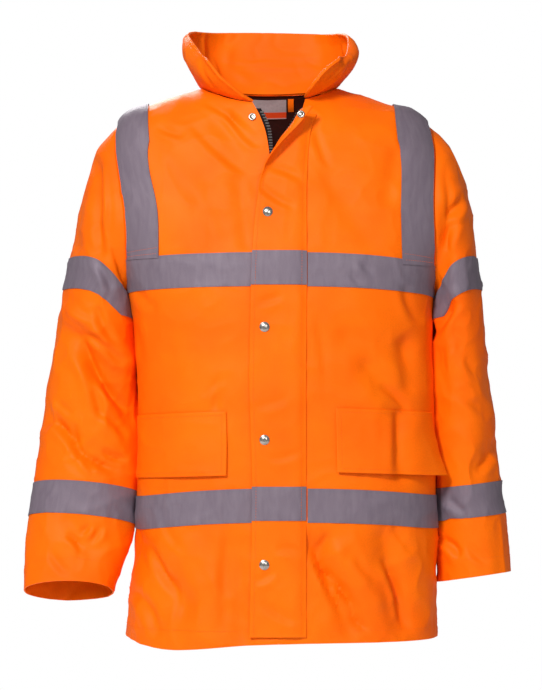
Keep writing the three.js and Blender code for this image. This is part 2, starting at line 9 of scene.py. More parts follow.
import bpy
import numpy as np
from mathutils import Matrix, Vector


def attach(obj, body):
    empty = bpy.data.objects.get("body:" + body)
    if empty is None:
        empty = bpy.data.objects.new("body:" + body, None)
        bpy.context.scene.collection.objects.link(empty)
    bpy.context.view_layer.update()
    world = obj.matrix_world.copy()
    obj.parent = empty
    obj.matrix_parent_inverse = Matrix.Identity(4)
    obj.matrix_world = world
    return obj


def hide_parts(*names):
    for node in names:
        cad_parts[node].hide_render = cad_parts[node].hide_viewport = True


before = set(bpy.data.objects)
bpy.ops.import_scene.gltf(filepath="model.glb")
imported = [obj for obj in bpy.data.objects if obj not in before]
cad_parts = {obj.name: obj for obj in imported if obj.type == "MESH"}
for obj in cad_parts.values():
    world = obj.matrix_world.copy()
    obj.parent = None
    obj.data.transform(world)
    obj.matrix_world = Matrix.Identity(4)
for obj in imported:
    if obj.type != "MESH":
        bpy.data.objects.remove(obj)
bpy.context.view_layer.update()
MM = 0.001
print("nodes in the frame:", len(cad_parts))

# %% [markdown]
# The body is a stack of rings, as a pattern cutter thinks of hem, waist, chest and shoulder. A table
# with a row for each ring is easy to read and to change, and a smooth curve fills in between the rows.
# A mesh pushed about by hand could look the same, but nobody could alter it later.

# %% Tables and the smooth curve through them


def table(columns, rows):
    """The named columns of a short table, each as an array."""
    return dict(zip(columns.split(), np.array(rows, float).T))


def curve(keys, values, at):
    """A smooth curve through values at keys; values may have a column for each column of at."""
    keys, values, at = np.asarray(keys), np.asarray(values), np.asarray(at, float)
    wide = (slice(None),) + (None,) * (values.ndim - 1)
    rises = np.diff(values, axis=0) / np.diff(keys)[wide]
    middle = (values[2:] - values[:-2]) / (keys[2:] - keys[:-2])[wide]
    slopes = np.concatenate([rises[:1], middle, rises[-1:]])
    i = np.clip(np.searchsorted(keys, at) - 1, 0, len(keys) - 2)
    span = keys[i + 1] - keys[i]
    t = np.clip((at - keys[i]) / span, 0, 1)
    where = (i,) if values.ndim == 1 else (i, np.arange(values.shape[1]))
    after = (i + 1,) + where[1:]
    return (
        values[where] * (2 * t**3 - 3 * t**2 + 1) + slopes[where] * span * (t**3 - 2 * t**2 + t)
        + values[after] * (3 * t**2 - 2 * t**3) + slopes[after] * span * (t**3 - t**2)
    )


smooth_columns = {}


def along(rows, column, at):
    """The smooth value of one column of a table, at places along its first column."""
    key = id(rows), column
    if key not in smooth_columns:
        keys = next(iter(rows.values()))
        places = np.linspace(keys[0], keys[-1], 4001)
        smooth_columns[key] = places, curve(keys, rows[column], places)
    return np.interp(at, *smooth_columns[key])


def mix(start, end, share):
    return start + (end - start) * share


def solve(rising, goal, low, high):
    """The numbers between low and high where a rising function reaches its goal."""
    low, high = np.zeros_like(goal, float) + low, np.zeros_like(goal, float) + high
    for _ in range(30):
        middle = (low + high) / 2
        below = rising(middle) < goal
        low, high = np.where(below, middle, low), np.where(below, high, middle)
    return (low + high) / 2


def unit(vectors):
    return vectors / np.maximum(np.linalg.norm(vectors, axis=-1, keepdims=True), 1e-9)


TORSO = table("level side_z front_z back_z centre half front back square armhole", [
    (0, -833, -831, -838, 20.6, 235.5, 143, 138, 2.5, 232),
    (1, -628, -626, -626, 28, 228, 141, 132, 2.5, 232),
    (2, -480, -480, -480, 27, 226, 143, 132, 2.5, 232),
    (3, -315, -315, -315, 19, 232, 142, 138, 2.6, 232),
    (4, -195, -195, -195, 16, 262, 128, 128, 2.8, 232),
    (5, -57, -120, -105, 6.5, 237.5, 114, 110, 2.5, 237.5),
    (6, -22, -75, -48, 3, 172, 104, 92, 2.3, 172),
    (7, -1, -31, -3, 0, 104, 96, 70, 2.1, 104),
])
HEM, ARMPIT, SHOULDER, NECK = 0, 3, 5, 7
HEM_DIP, HEM_DIP_TURN, HEM_DIP_WIDTH = 12.0, -0.22, 0.15
print("body rings:", len(TORSO["level"]))

# %% [markdown]
# A point of the body is given by a turn round it and a level up it. Its section is a rounded
# rectangle, deeper in front than behind. A sculpted mesh would have no such numbers, and with them a
# seam, a fold or a tape can be laid anywhere, and the outward direction is known at each point.

# %% The smooth body


def body(name, level):
    return along(TORSO, name, level)


def torso_z(turn, level):
    """The height of a point of the smooth body; the hem hangs lower over a stretch of the front."""
    ahead = np.cos(turn * np.pi)
    end_z = np.where(ahead > 0, body("front_z", level), body("back_z", level))
    dip = HEM_DIP * np.exp(-(((turn - HEM_DIP_TURN) / HEM_DIP_WIDTH) ** 2)) * np.maximum(1 - level, 0) ** 2
    return body("side_z", level) + (end_z - body("side_z", level)) * ahead**2 - dip


def torso(turn, level):
    """A point of the smooth body: turn 0 is the front's middle, 0.5 the right side as seen, 1 the back."""
    turn, level = np.broadcast_arrays(np.asarray(turn, float), level)
    across, ahead = np.sin(turn * np.pi), np.cos(turn * np.pi)
    power = 2 / body("square", level)
    depth = np.where(ahead > 0, body("front", level), body("back", level))
    return np.stack([
        body("centre", level) + body("half", level) * np.sign(across) * np.abs(across) ** power,
        -depth * np.sign(ahead) * np.abs(ahead) ** power,
        torso_z(turn, level),
    ], axis=-1)


def outward(surface, a, b, step_a, step_b):
    """The outward direction of a surface given by two numbers."""
    along_a = surface(a + step_a, b) - surface(a - step_a, b)
    along_b = surface(a, b + step_b) - surface(a, b - step_b)
    return unit(np.cross(along_a, along_b))


def torso_normal(turn, level):
    return outward(torso, turn, np.clip(level, 0.02, NECK - 0.02), 0.01, 0.02)


def level_at(turn, z):
    return solve(lambda level: torso_z(turn, level), z + 0 * turn, HEM, NECK)


def front_turn_at(x, level):
    """The turn on the front where the body is x across."""
    share = np.clip((x - body("centre", level)) / body("half", level), -1, 1)
    return np.arcsin(np.sign(share) * np.abs(share) ** (body("square", level) / 2)) / np.pi


def back_turn_at(x, level):
    return 1 - front_turn_at(x, level)


def front_place(x, z):
    """The turn and level of the front where it is seen at x and z."""
    turn = np.zeros(np.broadcast(x, z).shape)
    for _ in range(5):
        level = level_at(turn, z + 0 * turn)
        turn = front_turn_at(x + 0 * turn, level)
    return turn, level


print("chest, mm round:", round(float(np.linalg.norm(np.diff(
    torso(np.linspace(0, 2, 200), 3.0), axis=0), axis=1).sum())))

# %% [markdown]
# Cloth creases because it is pulled at the armpits, bent at the elbows and squashed at the hem. Each
# main fold is a soft trough or ridge along a line, and each crease is a narrow valley with a ridge
# beside it. They could be left to a cloth simulation, but then they would not lie where the real ones
# do. So they are listed one by one, uneven in length, depth and spacing, with like ones at the back.

# %% Folds and creases placed one by one

FOLD_COLUMNS = "x1 z1 x2 z2 width depth side"
BODY_FOLDS = table(FOLD_COLUMNS, [
    (-205, -690, -125, -775, 22, 11, -1),
    (-120, -700, -95, -820, 26, -7, -1),
    (-45, -690, -38, -820, 16, 5, -1),
    (72, -690, 122, -800, 20, 12, -1),
    (176, -680, 200, -800, 20, 11, -1),
    (100, -700, 160, -770, 15, -6, -1),
    (150, -425, 203, -486, 18, 9, -1),
    (206, -390, 212, -450, 14, 8, -1),
    (120, -380, 205, -402, 18, 5, -1),
    (195, -500, 198, -580, 16, 6, -1),
    (-70, -60, -20, -150, 20, 5, -1),
    (-170, -90, -125, -150, 24, 4, -1),
    (-105, -170, -80, -240, 18, 4, -1),
    (-45, -150, -32, -240, 12, 4, -1),
    (95, -150, 150, -235, 22, 5, -1),
    (190, -110, 178, -170, 14, 4, -1),
    (-150, -700, -70, -800, 30, 7, 1),
    (180, -700, 110, -790, 30, 8, 1),
    (30, -440, 20, -545, 34, 6, 1),
    (-150, -355, -60, -430, 30, 6, 1),
    (180, -355, 90, -430, 30, 6, 1),
])
SLEEVE_FOLDS = table(FOLD_COLUMNS, [
    (-285, -380, -205, -500, 20, 14, -1),
    (-290, -345, -215, -415, 18, -8, -1),
    (-330, -505, -235, -575, 17, 9, -1),
    (-258, -120, -255, -250, 14, 11, -1),
    (-286, -150, -292, -240, 12, 5, -1),
    (-300, -655, -270, -700, 14, 5, -1),
    (268, -190, 262, -300, 15, 8, -1),
    (262, -330, 290, -390, 20, 8, -1),
    (312, -580, 338, -545, 16, 5, -1),
    (-330, -360, -240, -430, 22, 8, 1),
    (-340, -520, -250, -560, 20, 7, 1),
    (330, -350, 280, -430, 22, 8, 1),
    (345, -520, 280, -570, 20, 7, 1),
])
CREASE_COLUMNS = "x1 z1 x2 z2 width depth bow side"
BODY_CREASES = table(CREASE_COLUMNS, [
    # the wearer's right front, left as seen: below the waist tape, at the pocket and at the neck
    (-182, -692, -135, -762, 7, 3.0, 6, -1),
    (-205, -760, -165, -830, 9, 2.6, -8, -1),
    (-158, -655, -120, -700, 6, 1.2, 3, -1),
    (-60, -655, -66, -815, 8, 1.6, 3, -1),
    (-70, -455, -80, -490, 6, 1.2, 2, -1),
    (-96, -470, -70, -440, 6, 0.9, 0, -1),
    (-64, -38, -14, -100, 5, 1.8, 5, -1),
    (-98, -25, -12, -95, 6, 1.6, -6, -1),
    (-116, -60, -30, -140, 7, 1.4, 4, -1),
    (-168, -62, -125, -80, 6, 1.5, 2, -1),
    (-205, -300, -165, -340, 7, 1.3, 3, -1),
    (-210, -345, -190, -420, 8, 1.2, -3, -1),
    # the left front
    (66, -684, 108, -786, 6, 3.4, 4, -1),
    (76, -722, 132, -788, 6, 3.2, -5, -1),
    (120, -785, 150, -815, 6, 2.2, 2, -1),
    (92, -668, 74, -700, 6, 1.8, 2, -1),
    (172, -708, 199, -776, 7, 3.2, -4, -1),
    (196, -735, 210, -815, 7, 2.4, 3, -1),
    (128, -700, 160, -742, 7, 1.6, 3, -1),
    (188, -655, 215, -700, 6, 1.2, 2, -1),
    (196, -488, 190, -590, 8, 2.2, 2, -1),
    (168, -452, 210, -486, 6, 1.8, -3, -1),
    (120, -285, 137, -303, 5, 1.2, 1, -1),
    (134, -268, 152, -286, 5, 1.0, 0, -1),
    (70, -70, 92, -130, 6, 1.3, 3, -1),
    (200, -300, 228, -360, 8, 1.6, 4, -1),
    (70, -345, 84, -460, 7, 1.0, -3, -1),
    # the back
    (-215, -330, -110, -360, 8, 2.4, 6, 1),
    (-205, -365, -120, -430, 8, 2.0, -5, 1),
    (235, -330, 140, -365, 8, 2.4, 6, 1),
    (225, -380, 150, -425, 7, 1.8, 4, 1),
    (-60, -470, 90, -485, 8, 1.9, 7, 1),
    (-90, -520, 60, -540, 9, 1.6, -6, 1),
    (40, -560, 150, -575, 7, 1.2, 4, 1),
    (-170, -665, -120, -760, 8, 2.6, 5, 1),
    (-40, -680, -20, -800, 9, 2.2, -5, 1),
    (60, -670, 85, -770, 8, 2.0, 4, 1),
    (190, -680, 150, -800, 8, 2.6, -5, 1),
    (-70, -30, -30, -80, 7, 1.5, 4, 1),
    (70, -30, 35, -85, 7, 1.5, -4, 1),
    (-20, -130, 10, -230, 9, 1.3, 5, 1),
    (-150, -140, -100, -210, 8, 1.2, 3, 1),
    (150, -150, 120, -215, 8, 1.2, 3, 1),
])
SLEEVE_CREASES = table(CREASE_COLUMNS, [
    # the wearer's right sleeve, left as seen
    (-288, -383, -205, -492, 8, 5.0, 9, -1),
    (-282, -372, -222, -420, 7, 3.2, -5, -1),
    (-296, -392, -252, -505, 8, 2.6, -8, -1),
    (-258, -330, -226, -400, 7, 2.4, 5, -1),
    (-334, -506, -292, -548, 6, 3.6, -5, -1),
    (-292, -548, -236, -578, 6, 3.2, 4, -1),
    (-296, -512, -282, -566, 6, 2.4, 3, -1),
    (-282, -566, -262, -582, 5, 2.2, 0, -1),
    (-250, -552, -214, -566, 6, 2.4, 3, -1),
    (-262, -488, -214, -532, 7, 2.0, -4, -1),
    (-326, -470, -296, -498, 6, 1.4, 2, -1),
    (-304, -676, -280, -702, 5, 2.6, -3, -1),
    (-284, -674, -268, -662, 5, 2.2, 2, -1),
    (-268, -690, -252, -664, 5, 1.8, 2, -1),
    (-330, -700, -300, -735, 6, 1.5, 3, -1),
    (-262, -120, -258, -240, 7, 2.6, 4, -1),
    (-244, -110, -238, -230, 7, 2.0, -4, -1),
    (-272, -150, -270, -245, 6, 1.4, 3, -1),
    (-262, -262, -236, -312, 6, 1.8, -4, -1),
    (-300, -320, -262, -352, 7, 1.5, 3, -1),
    # the left sleeve
    (266, -202, 292, -168, 7, 2.8, 4, -1),
    (264, -250, 280, -206, 7, 2.6, -3, -1),
    (268, -112, 276, -196, 8, 2.2, 5, -1),
    (244, -392, 282, -326, 8, 4.0, -6, -1),
    (262, -350, 268, -470, 8, 2.0, 5, -1),
    (316, -584, 342, -548, 6, 2.2, 3, -1),
    (262, -684, 290, -712, 6, 3.0, -3, -1),
    (272, -622, 300, -644, 6, 1.6, 2, -1),
    (288, -470, 330, -500, 8, 1.4, -4, -1),
    (300, -690, 330, -722, 6, 1.3, 3, -1),
    (296, -410, 320, -440, 7, 1.3, 3, -1),
    # the backs of both
    (-330, -365, -245, -420, 8, 3.4, 6, 1),
    (-335, -400, -240, -470, 8, 3.0, -6, 1),
    (-345, -515, -255, -560, 7, 3.2, 5, 1),
    (-350, -560, -280, -590, 7, 2.0, -4, 1),
    (-290, -150, -262, -250, 8, 2.0, 5, 1),
    (-350, -640, -290, -690, 7, 1.8, 4, 1),
    (335, -350, 262, -420, 8, 3.4, 6, 1),
    (340, -400, 275, -465, 8, 2.8, -6, 1),
    (350, -510, 280, -560, 7, 3.0, 5, 1),
    (352, -560, 300, -590, 7, 1.8, -4, 1),
    (300, -140, 285, -240, 8, 2.0, -5, 1),
    (355, -640, 310, -685, 7, 1.6, 4, 1),
])


CREASE_GAIN = 2.8


def beside_line(point, x1, z1, x2, z2):
    """Where a point is seen by a line: mm beside it, its share of the way along, and the line's length."""
    dx, dz = x2 - x1, z2 - z1
    long = math.hypot(dx, dz)
    x, z = point[..., 0] - x1, point[..., 2] - z1
    return (x * dz - z * dx) / long, (x * dx + z * dz) / long**2, long


def fold_depth(folds, point, middle_y):
    """How far the main folds push a point in; middle_y parts the front from the back."""
    facing = np.clip((point[..., 1] - middle_y) / 30, -1, 1)
    depth = 0
    for *line, width, deep, side in zip(*folds.values()):
        beside, share, long = beside_line(point, *line)
        away = np.hypot(beside, (share - np.clip(share, 0, 1)) * long)
        depth = depth + deep * np.exp(-((away / width) ** 2)) * np.maximum(0, facing * side)
    return depth


def crease_depth(creases, point, middle_y=0.0):
    """How far fine creases push a point in: a narrow valley that fades to its ends, and a ridge beside it."""
    facing = np.clip((point[..., 1] - middle_y) / 25, -1, 1)
    depth = 0
    for *line, width, deep, bow, side in zip(*creases.values()):
        beside, share, _ = beside_line(point, *line)
        fade = np.clip(1 - (2 * share - 1) ** 2, 0, 1)
        away = beside - bow * fade
        valley = np.exp(-((away / width) ** 2))
        ridge = np.exp(-(((away - 1.5 * width) / (1.1 * width)) ** 2))
        shape = fade**0.75 * (valley - 0.55 * ridge)
        depth = depth + CREASE_GAIN * deep * shape * np.maximum(0, facing * side)
    return depth


print("folds and creases by hand:", sum(len(t["x1"]) for t in (
    BODY_FOLDS, SLEEVE_FOLDS, BODY_CREASES, SLEEVE_CREASES)))

# %% [markdown]
# Between the main creases the cloth is never quite flat: it keeps faint, crisp dents from being folded
# in its bag. Hundreds of them by hand would be dull work, so seeded random numbers spread them, the
# same ones each time. Ridged noise, which is sharp where a smooth noise passes through nothing, gives
# the crackle of a stiff coated fabric.

# %% Faint dents of stiff cloth


def soft_noise(point, size, seed):
    """Smooth random numbers from -1 to 1 that change over about size mm."""
    lattice = np.random.default_rng(seed).uniform(-1, 1, (24, 24, 24))
    at = point / size
    base = np.floor(at).astype(int)
    share = at - base
    share = share * share * (3 - 2 * share)
    total = 0
    for corner in np.ndindex(2, 2, 2):
        weight = np.prod(np.where(corner, share, 1 - share), axis=-1)
        x, y, z = np.moveaxis((base + corner) % 24, -1, 0)
        total = total + weight * lattice[x, y, z]
    return total


def crackle(point, size, seed):
    """Sharp, faint ridges from 0 to 1 that run where a smooth noise passes through nothing."""
    bent = point + 0.25 * size * np.stack([soft_noise(point, size * 0.8, seed + i) for i in (1, 2, 3)], -1)
    return (1 - np.abs(soft_noise(bent, size, seed))) ** 4


def dents(point, amount):
    """The uneven relief of stiff cloth, in mm outward."""
    wide = soft_noise(point, 85, 11) * 1.9 + soft_noise(point, 38, 12) * 0.8
    return amount * (wide + crackle(point, 56, 21) * 2.7 + crackle(point, 29, 31) * 1.5 - 1.1)


def relief(point, folds, creases, middle_y, amount):
    """What folds, creases and dents add to a point, in mm outward."""
    return dents(point, amount) - fold_depth(folds, point, middle_y) - crease_depth(creases, point, middle_y)


def on_body(turn, level, out):
    """A point on the body's cloth, moved out by a distance."""
    point = torso(turn, level)
    amount = 0.55 + 0.45 * np.clip((-560 - point[..., 2]) / 120, 0, 1)
    lift = out + relief(point, BODY_FOLDS, BODY_CREASES, 0.0, amount)
    return point + torso_normal(turn, level) * lift[..., None]


print("noise, smallest and largest:", [round(float(f(soft_noise(torso(
    np.linspace(0, 2, 400), 2.0), 38, 12))), 2) for f in (np.min, np.max)])

# %% [markdown]
# Every piece of cloth becomes a closed shell: an outer grid of points, an inner one, and a rim round
# the edges. Solidify would do that too, but two grids let the edge be rounded, as cloth that is turned
# in and sewn. The shell also carries its flat sizes in metres as a UV map, so that a weave or a
# reflective pattern keeps its real scale on every piece.

# %% Shells of cloth


def flat_map(grid):
    """Each point's place on the cloth laid flat: mm along its row and along its column."""
    across = np.linalg.norm(np.diff(grid, axis=1), axis=2).cumsum(axis=1)
    down = np.linalg.norm(np.diff(grid, axis=0), axis=2).cumsum(axis=0)
    across = np.concatenate([np.zeros((len(grid), 1)), across], axis=1)
    down = np.concatenate([np.zeros((1, grid.shape[1])), down], axis=0)
    return np.stack([across, down], axis=-1)


def put_in_scene(name, data):
    thing = bpy.data.objects.new(name, data)
    bpy.context.scene.collection.objects.link(thing)
    return thing


def mesh_of(name, points, faces):
    """A mesh from points in mm and the faces between them."""
    mesh = bpy.data.meshes.new(name)
    mesh.from_pydata((points * MM).tolist(), [], faces)
    return mesh


def many(name, points, faces):
    """One mesh of many small pieces that are alike: the points of each, and the faces of the first."""
    count, each = points.shape[:2]
    all_faces = np.array(faces)[None] + each * np.arange(count)[:, None, None]
    return mesh_of(name, points.reshape(-1, 3), all_faces.reshape(count * len(faces), -1).tolist())


def new_object(name, mesh, finishes):
    """A piece of the jacket: it rides on the one body and takes its finish from a slot."""
    piece = put_in_scene(name, mesh)
    for finish in finishes:
        mesh.materials.append(finish)
    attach(piece, "root")
    return piece


def shell(name, outer, inner, finishes, closed=False):
    """A shell from an outer and an inner grid; closed joins each row's end to its start."""
    rows, columns = outer.shape[:2]
    spans = columns if closed else columns - 1
    r, c = (grid.ravel() for grid in np.mgrid[0:rows - 1, 0:spans])
    ends = np.arange(spans)
    sides = np.arange(rows - 1)

    def corners(*places):
        return np.stack([np.stack(np.broadcast_arrays(*place), -1) for place in places], axis=1)

    quads = [
        corners((0, r, c), (0, r, c + 1), (0, r + 1, c + 1), (0, r + 1, c)),
        corners((1, r, c), (1, r + 1, c), (1, r + 1, c + 1), (1, r, c + 1)),
        corners((0, 0, ends), (1, 0, ends), (1, 0, ends + 1), (0, 0, ends + 1)),
        corners((0, rows - 1, ends), (0, rows - 1, ends + 1), (1, rows - 1, ends + 1), (1, rows - 1, ends)),
    ]
    if not closed:
        quads.append(corners((0, sides, 0), (0, sides + 1, 0), (1, sides + 1, 0), (1, sides, 0)))
        far = sides + 1
        quads.append(corners((0, sides, spans), (1, sides, spans), (1, far, spans), (0, far, spans)))
    inside = np.concatenate([np.full(len(q), i == 1) for i, q in enumerate(quads)])
    quads = np.concatenate(quads)
    side, row, column = np.moveaxis(quads, -1, 0)
    faces = (side * rows + row) * columns + column % columns
    points = np.concatenate([outer.reshape(-1, 3), inner.reshape(-1, 3)])
    first = points[faces[:len(r)]]
    facing = np.cross(first[:, 1] - first[:, 0], first[:, 3] - first[:, 0])
    if (facing * (outer - inner)[r, c]).sum() < 0:
        faces, row, column = faces[:, ::-1], row[:, ::-1], column[:, ::-1]
    mesh = mesh_of(name, points, faces.tolist())
    grid = np.concatenate([outer, outer[:, :1]], axis=1) if closed else outer
    flat = flat_map(grid)[row, column] * MM
    mesh.uv_layers.new(name="flat").uv.foreach_set("vector", flat.astype(np.float32).ravel())
    mesh.shade_smooth()
    mesh.set_sharp_from_angle(angle=math.radians(48))
    piece = new_object(name, mesh, finishes)
    if len(finishes) > 1:
        mesh.polygons.foreach_set("material_index", inside.astype(np.int32))
    return piece


def steps(length, step=4.0, fine_start=True, fine_end=True):
    """Shares of a length in mm: even steps, with finer ones beside a sewn or turned edge."""
    near = np.array([0.5, 1.1, 1.9, 2.9])
    places = [np.linspace(0, length, max(round(length / step), 2) + 1)]
    places += [near] if fine_start else []
    places += [length - near] if fine_end else []
    return np.unique(np.round(np.concatenate(places), 2)) / length


def edge_round(distance, radius):
    """How full a turned edge is, from nearly nothing at the edge to 1 at the radius."""
    share = 1 - np.clip(distance / radius, 0, 1)
    return np.sqrt(np.maximum(1 - share**2, 0.03))


print("shares over 20 mm:", steps(20.0).round(2))

# %% [markdown]
# Colours are given as sRGB hex values, as a maker's swatch would be, and one function turns them to
# the linear numbers that the renderer counts in. Materials differ in their nodes, but every node is
# added by one small function, so a material reads as a list of what is done to the surface.

# %% Colour and node helpers


def linear(hex_colour):
    """An sRGB hex colour as linear RGBA."""
    parts = [int(hex_colour[i:i + 2], 16) / 255 for i in (1, 3, 5)]
    return (*(p / 12.92 if p <= 0.04045 else ((p + 0.055) / 1.055) ** 2.4 for p in parts), 1.0)


def add(material, kind, inputs=None, **settings):
    """Adds a node with its settings; an input is a value, or another node's output that is linked to it."""
    node = material.node_tree.nodes.new(kind)
    for name, value in settings.items():
        setattr(node, name, value)
    for key, value in (inputs or {}).items():
        if isinstance(value, bpy.types.NodeSocket):
            material.node_tree.links.new(value, node.inputs[key])
        else:
            node.inputs[key].default_value = value
    return node


def new_material(name, **constants):
    """A material and its main shader, with the constants set on the shader's own sockets."""
    material = bpy.data.materials.new(name)
    material.use_nodes = True
    shader = material.node_tree.nodes["Principled BSDF"]
    for key, value in constants.items():
        shader.inputs[key.replace("_", " ")].default_value = value
    return material, shader


def connect(material, output, shader, socket):
    material.node_tree.links.new(output, shader.inputs[socket])


def flat_place(material):
    """The cloth's flat coordinates, in metres."""
    return add(material, "ShaderNodeUVMap", uv_map="flat").outputs["UV"]


def object_place(material):
    return add(material, "ShaderNodeTexCoord").outputs["Object"]


def noise(material, place, scale, detail=2.0, distortion=0.0):
    """A cloudy noise with about scale clouds in each metre."""
    return add(material, "ShaderNodeTexNoise", {
        "Vector": place, "Scale": scale, "Detail": detail, "Distortion": distortion}).outputs["Fac"]


def ranged(material, value, low, high, start=0.3, end=0.7):
    """A value that goes from start to end, stretched to go from low to high."""
    return add(material, "ShaderNodeMapRange", {
        "Value": value, "From Min": start, "From Max": end, "To Min": low, "To Max": high}).outputs[0]


def two_shades(material, share, first, second):
    """A colour between two others."""
    return add(material, "ShaderNodeMix", {0: share, 6: first, 7: second}, data_type="RGBA").outputs[2]


def toned(material, colour, value):
    """A colour made lighter or darker by a factor."""
    return add(material, "ShaderNodeHueSaturation", {"Value": value, "Color": colour}).outputs[0]


def math_node(material, operation, *values, **settings):
    inputs = dict(enumerate(values))
    return add(material, "ShaderNodeMath", inputs, operation=operation, **settings).outputs[0]


def raise_surface(material, shader, height, strength, depth_mm):
    """Gives the surface a relief from a height, at a real depth."""
    bump = add(material, "ShaderNodeBump", {
        "Strength": strength, "Distance": depth_mm * MM, "Height": height})
    connect(material, bump.outputs[0], shader, "Normal")


def threads(material, place, spacing_mm):
    """A plain weave's height from -1 to 1: threads over and under at a real spacing."""
    parts = add(material, "ShaderNodeSeparateXYZ", {"Vector": place}).outputs
    waves = []
    for axis in ("X", "Y"):
        phase = math_node(material, "MULTIPLY", parts[axis], math.pi / (spacing_mm * MM))
        waves.append(math_node(material, "SINE", phase))
    return math_node(material, "MULTIPLY", *waves)


print("orange in linear:", [round(v, 3) for v in linear("#ff7003")])

# %% [markdown]
# The shell is a polyester oxford, woven from bright fluorescent orange yarn and coated inside. A
# picture of cloth could be wrapped on it, but nodes keep the weave sharp at any distance. The base is
# a deep orange that glows where light falls full on it; a fine plain weave gives the grain, and two
# slow noises keep the dye and the gloss from being the same all over.

# %% Fluorescent polyester oxford
ORANGE, ORANGE_DEEP = "#ff7003", "#ff6602"
OXFORD_THREAD_MM = 0.9  # about twice the real spacing, so that the weave shows at all


def polyester_oxford(name):
    """Woven polyester with a slight sheen: soft highlights, a fine grain and faint shade changes."""
    material, shader = new_material(name, Metallic=0.0, IOR=1.5, Specular_IOR_Level=0.1)
    place = flat_place(material)
    slow = noise(material, object_place(material), 9.0, 3.0)
    fine = noise(material, place, 420.0)
    shade = ranged(material, slow, 0.0, 1.0, 0.35, 0.65)
    colour = two_shades(material, shade, linear(ORANGE), linear(ORANGE_DEEP))
    connect(material, toned(material, colour, ranged(material, fine, 0.94, 1.03)), shader, "Base Color")
    connect(material, ranged(material, slow, 0.46, 0.58), shader, "Roughness")
    weave = threads(material, place, OXFORD_THREAD_MM)
    raise_surface(material, shader, math_node(material, "ADD", weave, fine), 0.35, 0.12)
    return material


oxford = polyester_oxford("fluorescent_polyester_oxford")
print("material:", oxford.name)

# %% [markdown]
# The tape is a cotton-backed reflective film: glass beads, each finer than a hair, half sunk in a
# silver-grey resin. By soft light it looks plain grey with a mauve cast. The beads are far too small
# to model, so a fine noise stands for their grain, and a stretched one for the crinkles of the film.

# %% Reflective bead tape


def bead_tape(name):
    """Reflective bead film: dull silver grey, a little metallic, with crinkles across its length."""
    material, shader = new_material(name, Metallic=0.1, IOR=1.5, Specular_IOR_Level=0.25)
    place = flat_place(material)
    beads = noise(material, place, 900.0, 1.0)
    stretched = add(material, "ShaderNodeMapping", {"Vector": place, "Scale": (120.0, 26.0, 1.0)}).outputs[0]
    crinkle = noise(material, stretched, 1.0, 3.0, 0.6)
    shade = ranged(material, crinkle, 0.0, 1.0)
    colour = two_shades(material, shade, linear("#746773"), linear("#7d707b"))
    connect(material, toned(material, colour, ranged(material, beads, 0.92, 1.05)), shader, "Base Color")
    connect(material, ranged(material, beads, 0.5, 0.64), shader, "Roughness")
    height = math_node(material, "MULTIPLY_ADD", beads, 0.06, math_node(material, "MULTIPLY", crinkle, 0.25))
    raise_surface(material, shader, height, 0.6, 1.2)
    return material


tape_finish = bead_tape("reflective_bead_tape")
print("material:", tape_finish.name)

# %% [markdown]
# The plain finishes: dark taffeta for the lining, woven tape and moulded teeth for the zip, nickel
# for the press studs, satin for the blank label and spun polyester for the sewing thread. Each starts
# from the usual numbers for its material, and has at least the grain that shows from a step away.

# %% Lining, zip, metal, label and thread


def woven(name, light, deep, spacing_mm, roughness, depth_mm=0.1):
    """A plain woven cloth of two close shades with its threads as relief."""
    material, shader = new_material(name, Metallic=0.0, Specular_IOR_Level=0.15, Roughness=roughness)
    place = flat_place(material)
    weave = threads(material, place, spacing_mm)
    mottle = noise(material, place, 160.0, 3.0)
    shade = math_node(material, "MULTIPLY_ADD", weave, 0.3, mottle, use_clamp=True)
    connect(material, two_shades(material, shade, linear(light), linear(deep)), shader, "Base Color")
    raise_surface(material, shader, weave, 0.5, depth_mm)
    return material


def nickel_plate(name):
    """Brass plated with nickel and tumbled: a warm grey metal with a soft, slightly uneven gloss."""
    material, shader = new_material(name, Metallic=1.0)
    tumbled = noise(material, object_place(material), 700.0, 3.0)
    colour = two_shades(material, tumbled, linear("#a39d96"), linear("#c7c2ba"))
    connect(material, colour, shader, "Base Color")
    connect(material, ranged(material, tumbled, 0.2, 0.34), shader, "Roughness")
    raise_surface(material, shader, tumbled, 0.15, 0.05)
    return material


def moulded_acetal(name, hex_colour):
    """Moulded acetal: a hard plastic with a soft gloss and faint flow marks."""
    material, shader = new_material(name, Metallic=0.0, IOR=1.48)
    marks = noise(material, object_place(material), 300.0)
    tone = ranged(material, marks, 0.85, 1.15, 0.0, 1.0)
    connect(material, toned(material, linear(hex_colour), tone), shader, "Base Color")
    connect(material, ranged(material, marks, 0.25, 0.45, 0.0, 1.0), shader, "Roughness")
    return material


taffeta = woven("dark_lining_taffeta", "#3d120b", "#260a06", 0.8, 0.6)
zip_tape = woven("black_woven_zip_tape", "#1d1614", "#0d0908", 1.2, 0.75, 0.2)
teeth_acetal = moulded_acetal("black_moulded_acetal", "#3a3230")
nickel = nickel_plate("tumbled_nickel_plate")
orange_thread = woven("spun_polyester_thread_orange", "#ff7a1e", "#e8560a", 0.5, 0.6)
grey_thread = woven("spun_polyester_thread_grey", "#857a86", "#6a606c", 0.5, 0.6)
print("materials so far:", len(bpy.data.materials))

# %% [markdown]
# The body is cut as two fronts and a back. Each panel is a grid from one edge to the other: from the
# zip or the side seam to the armhole, which is a plane cut through the smooth body. The last
# millimetres of each sewn edge roll inward, so that two panels meet in the small groove of a real
# seam. The inside is the dark lining, and the cloth's own colour wraps round the hem.

